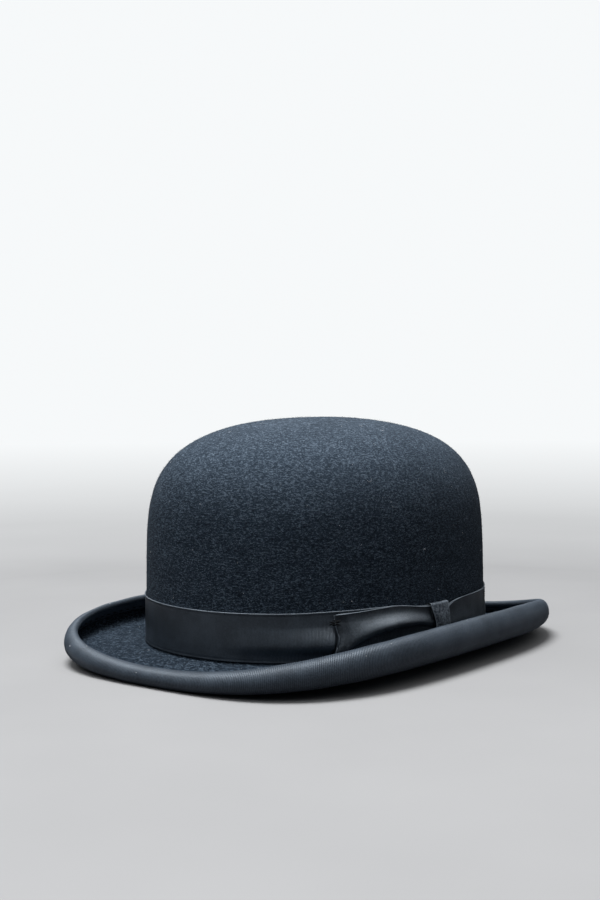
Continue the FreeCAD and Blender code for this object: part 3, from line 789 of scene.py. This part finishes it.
def selvedge(name, line, radius, whole=False):
    """The corded edge of a ribbon, in a much paler copy of the ribbon's cloth: a painted highlight along the
    edge.
    """
    ahead = unit(np.roll(line, -1, 0) - np.roll(line, 1, 0) if whole else np.gradient(line, axis=0))
    side = unit(line * [1, 1, 0])
    up = np.cross(side, ahead)
    turn = TURN * np.arange(8)[None, :, None] / 8
    twist = 1 + 0.12 * np.cos(TURN * np.arange(len(line)) / 3)[:, None, None]
    points = line[:, None] + radius * twist * (np.cos(turn) * side[:, None] + np.sin(turn) * up[:, None])
    grid_piece(name, points, painted_highlight_cloth, round_rows=whole, round_columns=True)


def edge_waver(angles, above, seed):
    return bumpy(on_wall(angles, above, 0.0), 30 * MM, 0.4 * MM, seed)


def round_strip(name, angles, foot, top, base, look, whole, crease_share, seed):
    """A ribbon laid round the crown's wall, with a share of the band's creases."""
    heights, lifts = strip_section(foot, top, base, 18)
    angle = angles[:, None]
    above = np.broadcast_to(heights[None], (len(angles), len(heights)))
    uneven = bumpy(on_wall(angle, above, lifts[None]), 22 * MM, 0.22 * MM, seed)
    lift = lifts[None] + crease_share * band_creases(signed(angle), above) + uneven
    pulled = band_top(angles) - BAND_TOP + edge_waver(angles, top, seed + 1)
    above = above + pulled[:, None] * np.clip((above - foot) / (top - foot), 0, 1)
    points = on_wall(angle, above, np.maximum(lift, 0.05 * MM))
    return grid_piece(name, points, look, round_rows=whole)


def hat_band():
    angles = even_angles(crown_radius, 1800)
    piece = round_strip("hat_band_ribbon", angles, BAND_FOOT, BAND_TOP, 0.15 * MM, band_cloth, True, 1, 5)
    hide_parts("hat_band")
    edge_height = band_top(angles) + edge_waver(angles, BAND_TOP, 6)
    edge_lift = 0.85 * MM + band_creases(signed(angles), edge_height)
    selvedge("hat_band_selvedge", on_wall(angles, edge_height, edge_lift), 0.25 * MM, True)
    around = line_length(on_wall(angles, BAND_TOP / 2, 0.5 * MM), whole=True)


def bow_back():
    reach = KNOT_HALF_ANGLE + WING_ANGLE - 0.8 * DEGREE
    angles = np.linspace(BOW_MIDDLE - reach, BOW_MIDDLE + reach, 300)
    foot, top = BAND_FOOT + 0.6 * MM, BAND_TOP - 0.9 * MM
    piece = round_strip("bow_back_ribbon_layer", angles, foot, top, 1.0 * MM, bow_cloth_painted_lighter, False, 0.25, 8)
    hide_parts("bow_back_ribbon")
    length = line_length(on_wall(angles, top / 2, 1.0 * MM))


def wing_edges(share, angle, side):
    """The lower and upper edge of a wing. Share is nought at the knot and one at the outer fold."""
    share = np.clip(share, 0, 1)
    drop = PINCH_FOOT - BAND_FOOT - 0.6 * MM
    if side > 0:
        return PINCH_FOOT - drop * np.sqrt(share), band_top(angle) + 0.7 * MM - 0.2 * MM
    arch = (WING_ARCH - WING_SAG) * np.sin(math.pi * share ** WING_ARCH_SKEW)
    corner_drop = 1.2 * MM * smooth((share - 0.35) / 0.65)
    rise = 0.5 * MM * np.sin(math.pi * share) - corner_drop
    return PINCH_FOOT + arch - drop * share ** WING_FLARE_POWER, band_top(angle) + rise - 0.2 * MM


def wing_swell(inside):
    """How full a wing is along its length: least at the knot, and a little drawn in by its fold."""
    least = 0.16 + 0.34 * inside
    swell = least + (1 - least) * np.sin(math.pi * inside ** 0.85) ** 1.1
    return swell - 0.12 * hump(inside, 0.94, 0.03)


def bow_wing(name, side, node, seed):
    """One loop of the bow. It is puffed, rounds under at its lower edge, and turns back at its fold."""
    loop = np.concatenate([np.linspace(-0.13, 0.9, 96), np.linspace(0.905, 1.0, 20)])
    turn = np.linspace(0, math.pi, 14)[1:]
    tail = np.linspace(0.985, 0.86, 8)
    share = np.concatenate([loop, np.ones(len(turn)), tail])[:, None]
    beyond = np.concatenate([0 * loop, np.sin(turn), 0 * tail])[:, None]
    folded = np.concatenate([0 * loop, (1 - np.cos(turn)) / 2, 1 + 0 * tail])[:, None]
    inside = np.clip(share, 0, 1)
    bend = np.linspace(0, WING_ROUNDS_UNDER, 52)[None]
    upper = bend < math.pi / 2

    flat_angle = KNOT_HALF_ANGLE + share * WING_ANGLE
    foot, top = wing_edges(share, BOW_MIDDLE + side * flat_angle, side)
    middle = foot + (top - foot) * WING_MIDDLE
    above = middle + np.where(upper, top - middle, middle - foot) * np.cos(bend)
    drawn = fold_pull(above) * smooth((share - 0.6) / 0.4)
    angle = BOW_MIDDLE + side * (flat_angle - drawn + beyond * FOLD_RADIUS / CROWN_HALF_WIDTH)

    base = WING_BASE - 0.55 * MM * folded
    puff = WING_PUFF[side] * wing_swell(inside) * (1 - folded)
    stands_out = np.where(upper, smooth((1 - np.cos(bend)) ** 1.5), np.sin(bend) ** 0.9)
    tack = hump(share, 0.97, 0.05) * hump(above, TACK_ABOVE, 1.6 * MM)
    gathers = 0.35 * MM * np.cos(TURN * 1.6 * bend / math.pi + 0.4) * (1 - smooth(inside / 0.32))
    lift = base + puff * stands_out - 0.35 * MM * tack + gathers * np.sin(bend)
    lift = np.maximum(lift, base * 0.8)
    points = on_wall(angle, above, lift)
    points = on_wall(angle, above, lift + bumpy(points, 10 * MM, 0.3 * MM, seed) * np.sin(bend))
    piece = grid_piece(name, points, bow_cloth_painted_lighter, flip=side < 0)
    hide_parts(node)

    rows = len(loop)
    # The wing's top edge and the rim of its fold are drawn in the paler cloth: painted highlights.
    top_edge = on_wall(angle[:rows, 0], above[:rows, 0], lift[:rows, 0] + 0.3 * MM)
    selvedge(name + "_selvedge", top_edge, WING_CORD[side])
    selvedge(name + "_fold_rim", points[rows + 3, :-10], 0.2 * MM)


def bow_knot():
    """The ribbon wrapped upright round the pinched middle, a little aslant."""
    across = np.linspace(-1, 1, 41)[:, None]
    foot, top = KNOT_FOOT, KNOT_TOP + 0.1 * MM
    over = KNOT_ROUND_END
    walked = np.linspace(0, 1, 120)[None] * (top - foot + 2 * over) - over
    above = np.clip(top - walked, foot, top)
    past_top = np.clip(-walked / over, 0, 1)
    past_foot = np.clip((walked - (top - foot)) / over, 0, 1)
    bulge = KNOT_PUFF - 1.3 * MM * ((above - 14 * MM) / (11 * MM)) ** 2
    lift = bulge * np.cos(0.5 * math.pi * past_top ** 0.8) + 0.4 * MM
    lift = lift * np.cos(0.5 * math.pi * past_foot ** 0.8) + 0.3 * MM
    above = above + 0.6 * MM * (np.sin(math.pi * past_top) - np.sin(math.pi * past_foot))
    down = np.clip((top - above) / (top - foot), 0, 1)
    half = 4.65 * DEGREE - 0.8 * DEGREE * np.sin(math.pi * down) ** 2
    angle = KNOT_TOP_ANGLE + KNOT_SLANT * down + half * across
    ribs = 0.08 * MM * np.cos(TURN * walked / KNOT_RIB) * (1 - np.abs(across) ** 12)
    lift = lift - 0.9 * MM * np.abs(across) ** 8 + ribs
    uneven = bumpy(on_wall(angle, above, lift), 7 * MM, 0.25 * MM, 41)
    points = on_wall(angle, above, lift + uneven)
    piece = grid_piece("bow_knot_ribbon", points, knot_cloth)
    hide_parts("bow_knot")
    for end, which in ((0, "front"), (-1, "rear")):
        selvedge("bow_knot_selvedge_" + which, points[end, 10:], 0.22 * MM)


def bow_gathers():
    """The pinched cloth inside the knot."""
    angle = BOW_MIDDLE + KNOT_HALF_ANGLE * np.linspace(-1, 1, 24)[:, None]
    turn = TURN * np.arange(24)[None] / 24
    above = 18 * MM + 5.0 * MM * np.sin(turn)
    lift = 2.3 * MM + 0.7 * MM * np.cos(turn) + 0.12 * MM * np.cos(5 * turn)
    piece = grid_piece("bow_gathered_middle", on_wall(angle, above, lift), bow_cloth_painted_lighter,
                       round_columns=True)
    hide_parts("bow_gathers")


def bow_tacks():
    """Thread at each wing's outer fold, with a few loose ends at the front one."""
    random = np.random.default_rng(5)
    across = np.linspace(-1, 1, 7)
    share = np.linspace(0, 1, 7)
    paths = []
    for side, stands_off in ((-1, 2.3 * MM), (1, 1.6 * MM)):
        middle = BOW_MIDDLE + side * (KNOT_HALF_ANGLE + WING_ANGLE)
        for row in range(3):
            above = (22.4 - 1.1 * row) * MM + 0.25 * MM * across * (row - 1)
            angle = middle + side * 0.1 * DEGREE + 1.0 * DEGREE * across
            paths.append(on_wall(angle, above, stands_off + 0.5 * MM * (1 - across ** 2)))
    for index in range(8):
        forward = 1 if index % 2 else -1
        lean = random.uniform(-0.9, 0.6)
        long = random.uniform(2.2, 3.8) * MM
        start = FRONT_FOLD + random.uniform(-0.5, 0.5) * DEGREE
        angle = start + forward * share * long * math.cos(lean) / CROWN_HALF_WIDTH
        above = 21.2 * MM + share * long * math.sin(lean)
        lift = 2.9 * MM + 0.6 * MM * np.sin(share * 2.4) - (1 - forward) * 0.3 * MM * share
        paths.append(on_wall(angle, above, lift))
    radii = 0.26 * MM * np.array([0.4, 1, 1, 1, 1, 0.8, 0.1])
    stitches("bow_tack_stitches", paths, radii, dark_thread, "bow_tack_thread")


def band_tacks():
    """Seven small stitches that hold the band's top edge, all clear of the bow."""
    share = np.linspace(-1, 1, 7)
    angle = np.linspace(50, 280, 7)[:, None] * DEGREE + 0.002 * share
    paths = on_wall(angle, 25.9 * MM + 0.6 * MM * share, 0.75 * MM + 0.25 * MM * (1 - share ** 2))
    radii = 0.13 * MM * np.array([0.1, 1, 1, 1, 1, 1, 0.1])
    stitches("band_tack_stitches", paths, radii, dark_thread, "band_tack_thread")


# ---- Inside: sweatband and lining ----

GROOVE_ABOVE = 5.2 * MM
BEADING_BELOW = 2.2 * MM
JOIN_STITCHES = 12
JOIN_PITCH = 3.9 * MM


def sweatband():
    """A strip of leather, grooved above its lower edge and beaded below its upper one."""
    angle = even_angles(crown_radius, 900)[:, None]
    foot, top = SWEATBAND_FOOT, SWEATBAND_TOP
    inner, outer = SWEATBAND_INSET + LEATHER, SWEATBAND_INSET
    face = np.linspace(foot + 0.6 * MM, top - 0.6 * MM, 34)
    back = face[::-6]
    above = np.concatenate([[foot + 0.2 * MM], face, [top - 0.1 * MM, top, top - 0.1 * MM], back,
                            [foot + 0.2 * MM]])[None]
    inset = np.concatenate([[inner - 0.3 * MM], np.full(len(face), inner),
                            [inner - 0.2 * MM, inner - LEATHER / 2, outer + 0.2 * MM],
                            np.full(len(back), outer), [outer + 0.2 * MM]])[None]
    height = break_height(angle) + above
    rising = np.clip((above - foot) / (top - foot), 0, 1)
    flattened = inside_wall(angle, height, inset) * [1, 1, 0.35]
    waves = np.clip(bumpy(flattened, 26 * MM, 0.9 * MM, 14) * rising ** 1.5, -0.5 * MM, 0.9 * MM)
    groove = 0.22 * MM * hump(above, GROOVE_ABOVE, 0.35 * MM)
    beading = 0.2 * MM * hump(above, top - BEADING_BELOW, 0.35 * MM)
    shift = waves - (groove + beading) * (inset > outer + 0.5 * MM)
    points = place(angle, wall_reach(angle, height, inset) - shift, height)
    piece = grid_piece("sweatband_leather_strip", points, leather, round_rows=True,
                       round_columns=True)
    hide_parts("sweatband")


def sweatband_stitches():
    def point_at(angles):
        height = break_height(angles) + SWEATBAND_FOOT + 3.0 * MM
        return inside_wall(angles, height, SWEATBAND_INSET + LEATHER + 0.15 * MM)
    row_of_stitches("sweatband_stitches", crown_radius, point_at, leather_thread, "sweatband_thread",
                    pitch=3.2 * MM, length=2.3 * MM)


def back_join_stitches():
    """Crossed stitches over the sweatband's join."""
    share = np.linspace(0, 1, 7)
    inset = SWEATBAND_INSET + LEATHER + 0.9 * MM + 0.2 * MM * np.sin(math.pi * share)
    paths = []
    for index in range(JOIN_STITCHES):
        above = SWEATBAND_FOOT + 6 * MM + index * JOIN_PITCH + share * 3.1 * MM
        for lean in (-1, 1):
            angle = BACK + lean * (share - 0.5) * 0.028
            paths.append(inside_wall(angle, break_height(angle) + above, inset))
    radii = THREAD_RADIUS * np.array([0.3, 1, 1, 1, 1, 1, 0.3])
    stitches("sweatband_back_stitches", paths, radii, leather_thread, "sweatband_back_thread")


def marker_bow():
    """The small ribbon bow at the back of the sweatband: two loops and a knot."""
    cloth = ribbon_material("marker_ribbon", (0.02, 0.023, 0.03), (0.045, 0.05, 0.062), 0, 0.06 * MM,
                            0.35), "marker_ribbon"
    low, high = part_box("sweatband_bow")
    centre_height = (low.z + high.z) / 2
    reach = low.y + 1.2 * MM
    turn = np.linspace(0, TURN, 49)[:, None]
    wide = np.linspace(-1, 1, 9)[None]
    open_out = np.sin(turn / 2) ** 2
    for side, name in ((-1, "right"), (1, "left")):
        x = side * (1.0 * MM + 13.0 * MM * open_out * (0.92 + 0.08 * np.cos(turn)))
        y = reach - 1.1 * MM * np.sin(turn)
        z = centre_height + wide * (1.1 + 1.3 * open_out) * MM - 0.8 * MM * open_out
        points = np.stack(np.broadcast_arrays(x, y, z), -1)
        loop = grid_piece("marker_bow_loop_" + name, points, cloth)
    around = TURN * np.arange(24)[:, None] / 24
    tall = np.linspace(-1, 1, 13)[None]
    swell = np.sqrt(np.clip(1.02 - tall ** 4, 0, 1))
    points = np.stack(np.broadcast_arrays(1.9 * MM * np.cos(around) * swell,
                                          reach + 1.5 * MM * np.sin(around) * swell,
                                          centre_height + 2.0 * MM * tall), -1)
    knot = grid_piece("marker_bow_knot", points, cloth, round_rows=True)
    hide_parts("sweatband_bow")


SATIN_CLEAR = 0.2 * MM
TIP_SPREAD = 0.785
TIP_PUCKERS = 58
SIDE_GATHERS = 46
FINE_GATHERS = 121


def lining_side():
    """The satin wall, with small gathers that deepen towards the seam with the tip."""
    angles = even_angles(crown_radius, 1500)
    angle = angles[:, None]
    share = np.linspace(0, 1, 46)[None]
    foot = break_height(angle) + LINING_FOOT
    top = dome_height(angle, LINING_SEAM_SPREAD, LINING_INSET) - 1.0 * MM
    height = foot + (top - foot) * share
    turns = TURN * np.arange(len(angles))[:, None] / len(angles)
    folds = np.cos(SIDE_GATHERS * turns + 2.2 * np.sin(5 * turns) + 1.5 * np.sin(11 * turns))
    fine = np.cos(FINE_GATHERS * turns + 2.0 * np.sin(9 * turns) + 3 * share)
    depth = 0.9 * MM * share ** 2 + 0.2 * MM
    inset = LINING_INSET + SATIN_CLEAR + depth * (1 + folds) * 0.8 + 0.35 * MM * share ** 4 * (1 + fine)
    inset = inset + bumpy(inside_wall(angle, height, inset), 28 * MM, 0.5 * MM, 21)
    points = inside_wall(angle, height, np.maximum(inset, LINING_INSET))
    piece = grid_piece("lining_side_cloth", points, satin, round_rows=True)
    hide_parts("lining_side")


def lining_tip():
    """The satin oval under the crown's top, puckered at its seam and sagging a little."""
    angles = even_angles(crown_radius, 900)
    angle = angles[:, None]
    share = np.linspace(0, 1, 50)[None, 1:]
    inset = LINING_INSET + SATIN_CLEAR
    spread = TIP_SPREAD * share
    turns = TURN * np.arange(len(angles))[:, None] / len(angles)
    folds = np.cos(TIP_PUCKERS * turns + 2.0 * np.sin(7 * turns))
    points = place(angle, (crown_radius(angle) - inset) * spread, dome_height(angle, spread, inset))
    clear_of_shield = smooth((share - 0.62) / 0.2)
    sag = 0.5 * MM + bumpy(points, 20 * MM, 0.5 * MM, 23)
    points[..., 2] -= np.maximum(0.45 * MM * (1 + folds) * share ** 5 + sag * clear_of_shield, 0)
    piece = grid_piece("lining_tip_cloth", points, satin, round_rows=True, capped=(True, False))
    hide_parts("lining_tip")


def shield_stitches():
    """Stitches just inside the edge of the clear patch."""
    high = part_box("tip_shield")[1]

    def radius_at(angles):
        return oval_radius(angles, high.x - 2.0 * MM, high.y - 2.0 * MM, 2)

    def point_at(angles):
        inset = LINING_INSET + 1.25 * MM
        reach = radius_at(angles)
        return place(angles, reach, dome_height(angles, reach / (crown_radius(angles) - inset), inset))
    row_of_stitches("tip_shield_stitches", radius_at, point_at, pale_thread, "tip_shield_thread",
                    pitch=3.4 * MM, length=2.4 * MM)


def finish_cad_nodes():
    """Materials for the parts that show as CAD made them."""
    reed = plain_material("reed", (0.5, 0.47, 0.37), (0.68, 0.64, 0.52), 300, 0.45)
    tape = plain_material("oilcloth", (0.02, 0.021, 0.024), (0.045, 0.047, 0.053), 900, 0.4)
    cord = plain_material("piping_cord", (0.40, 0.36, 0.29), (0.58, 0.54, 0.46), 1500, 0.5, 0.2 * MM)
    card = plain_material("card", (0.70, 0.68, 0.61), (0.82, 0.80, 0.74), 500, 0.8)
    finishes = {"sweatband_reed": (reed, "reed"), "reed_tape": (tape, "tape"),
                "sweatband_back_tape": (tape, "tape"), "lining_piping": (cord, "piping"),
                "tip_shield": (film_material(), "clear_film"), "size_ticket": (card, "card")}
    for node, (material, slot_name) in finishes.items():
        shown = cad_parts[node]
        shown.data.materials.clear()
        shown.data.materials.append(material)
        shown.data.polygons.foreach_set("use_smooth", np.ones(len(shown.data.polygons), bool))


LINT_ON_FELT = 330
LINT_ON_BINDING = 60


def lint_specks():
    """Pale specks and short hairs of lint on the felt, and specks on the binding."""
    random = np.random.default_rng(29)
    paths = []
    share = np.linspace(-0.5, 0.5, 4)[:, None]
    points, normals = felt_surface(even_angles(lip_radius, 720), LINT_COLUMNS)
    for index in range(LINT_ON_FELT):
        spot = random.integers(len(points)), random.integers(8, 82)
        normal = normals[spot]
        way = random.normal(0, 1, 3)
        way = unit(way - normal * np.dot(way, normal))
        long = random.uniform(0.15, 0.6) * MM if random.random() < 0.85 else random.uniform(1.0, 3.0) * MM
        bow = np.cross(way, normal) * random.normal(0, 0.3) * long
        paths.append(points[spot] + normal * 0.12 * MM + way * share * long + bow * share ** 2 * 4)
    thick = np.where(random.random(len(paths)) < 0.3, 0.10, 0.045)[:, None]
    angles = even_angles(lip_radius, 360)
    points = binding_section(angles, FELT / 2, BINDING_INSIDE, BINDING_OUTSIDE, (5, 4, 11))
    normals = -grid_normals(points, True, False)
    for index in range(LINT_ON_BINDING):
        spot = random.integers(len(points)), random.integers(3, 14)
        way = unit(np.cross(normals[spot], random.normal(0, 1, 3)))
        long = random.uniform(0.3, 0.9) * MM
        paths.append(points[spot] + normals[spot] * 0.15 * MM + way * share * long)
    thick = np.concatenate([thick, random.uniform(0.10, 0.2, (LINT_ON_BINDING, 1))])
    tube_piece("lint_specks", paths, np.array([0.4, 1, 1, 0.3]) * MM * thick, 4, lint)


# ---- Scene ----

BACKDROP = (0.925, 0.945, 0.955, 1)
FLOOR_RADIUS = 12.0
FLOOR_CLEAR = 0.3 * MM
FLOOR_FADE_START = 0.40
FLOOR_FADE = ((0.08, (1, 1, 1)), (0.20, (0.82, 0.82, 0.82)), (0.45, (0.40, 0.40, 0.40)), (1.0, (0, 0, 0)))
FLOOR_BOUNCE = (0.10, 0.10, 0.105, 1)
SKY_STRENGTH = 0.95
SKY_TONES = ((0.0, (0.018, 0.023, 0.030)), (0.35, (0.085, 0.096, 0.112)), (1.0, (1, 1, 1)))
CAMERA_PLACE = Vector((0.4364, -0.5838, 0.1366))
CAMERA_FORWARD = Vector((-0.60988, 0.79190, -0.03075))
CAMERA_RIGHT = Vector((0.79239, 0.60997, -0.00717))


def make_camera():
    camera = bpy.data.objects.new("camera", bpy.data.cameras.new("camera"))
    camera.data.lens = 50
    camera.data.sensor_width = 36
    forward = CAMERA_FORWARD.normalized()
    up = CAMERA_RIGHT.cross(forward).normalized()
    turned = Matrix((forward.cross(up), up, -forward)).transposed().to_4x4()
    camera.matrix_world = Matrix.Translation(CAMERA_PLACE) @ turned
    camera.data.clip_start = 0.01
    camera.data.clip_end = 100
    bpy.context.scene.collection.objects.link(camera)
    bpy.context.scene.camera = camera


def seen_or_lit(tree, output, lit, seen):
    """Show one shader to the camera, and let another give the light that everything else gets."""
    camera_ray = made_node(tree, "ShaderNodeLightPath").outputs["Is Camera Ray"]
    mixed = made_node(tree, "ShaderNodeMixShader", {0: camera_ray, 1: lit, 2: seen})
    tree.links.new(mixed.outputs["Shader"], tree.nodes[output].inputs["Surface"])


def make_floor():
    """A pale floor that fades into the backdrop far away, and sends little light up under the brim."""
    material, tree, shader = new_material("floor", Roughness=0.9, Specular_IOR_Level=0.1)
    where = object_place(tree)
    feed(tree, shader, Base_Color=colours(tree, noise_value(tree, where, 6, 3), (0.3, (0.28, 0.282, 0.285)),
                                          (0.7, (0.30, 0.302, 0.305))))
    distance = made_node(tree, "ShaderNodeVectorMath", {0: where}, operation="LENGTH").outputs["Value"]
    fade = colours(tree, arithmetic(tree, "DIVIDE", FLOOR_FADE_START, distance), *FLOOR_FADE)
    backdrop = made_node(tree, "ShaderNodeEmission", {"Color": BACKDROP, "Strength": 1.0})
    shown = made_node(tree, "ShaderNodeMixShader",
                      {0: fade, 1: shader.outputs["BSDF"], 2: backdrop.outputs["Emission"]})
    returned = made_node(tree, "ShaderNodeBsdfDiffuse", {"Color": FLOOR_BOUNCE})
    seen_or_lit(tree, "Material Output", returned.outputs["BSDF"], shown.outputs["Shader"])
    corners = 96
    rim = place(TURN * np.arange(corners) / corners, FLOOR_RADIUS, -FLOOR_CLEAR)
    mesh = bpy.data.meshes.new("floor")
    mesh.from_pydata(rim.tolist(), [], [list(range(corners))])
    mesh.materials.append(material)
    floor = bpy.data.objects.new("floor", mesh)
    bpy.context.scene.collection.objects.link(floor)


def area_light(name, place_at, aim, size, power, colour):
    light = bpy.data.lights.new(name, "AREA")
    light.shape = "DISK"
    light.size = size
    light.energy = power
    light.color = colour
    holder = bpy.data.objects.new(name, light)
    holder.location = place_at
    holder.rotation_mode = "QUATERNION"
    holder.rotation_quaternion = (Vector(aim) - Vector(place_at)).to_track_quat("-Z", "Y")
    bpy.context.scene.collection.objects.link(holder)


def make_light():
    """A pale backdrop, and soft light that is strongest from above."""
    world = bpy.data.worlds.new("world")
    world.use_nodes = True
    tree = world.node_tree
    seen = tree.nodes["Background"]
    seen.inputs["Color"].default_value = BACKDROP
    way = made_node(tree, "ShaderNodeTexCoord").outputs["Generated"]
    upward = made_node(tree, "ShaderNodeSeparateXYZ", {"Vector": way}).outputs["Z"]
    lit = made_node(tree, "ShaderNodeBackground",
                    {"Color": colours(tree, upward, *SKY_TONES), "Strength": SKY_STRENGTH})
    seen_or_lit(tree, "World Output", lit.outputs[0], seen.outputs[0])
    bpy.context.scene.world = world
    area_light("overhead", (-0.06, -0.45, 2.0), (0, 0, 0.08), size=1.1, power=66, colour=(0.99, 0.99, 1.0))
    area_light("front", (0.12, -1.40, 1.30), (0, 0, 0.06), size=0.8, power=4.5, colour=(0.96, 0.98, 1.0))


view_settings = bpy.context.scene.view_settings
view_settings.view_transform = "Standard"
view_settings.look = "None"

felt_body()
felt_fibres()
brim_binding()
binding_lap()
binding_stitches()
hat_band()
bow_back()
bow_wing("bow_front_loop", -1, "bow_front_wing", 31)
bow_wing("bow_rear_loop", 1, "bow_rear_wing", 33)
bow_knot()
bow_gathers()
bow_tacks()
band_tacks()
sweatband()
sweatband_stitches()
back_join_stitches()
marker_bow()
lining_side()
lining_tip()
shield_stitches()
finish_cad_nodes()
lint_specks()
make_camera()
make_floor()
make_light()
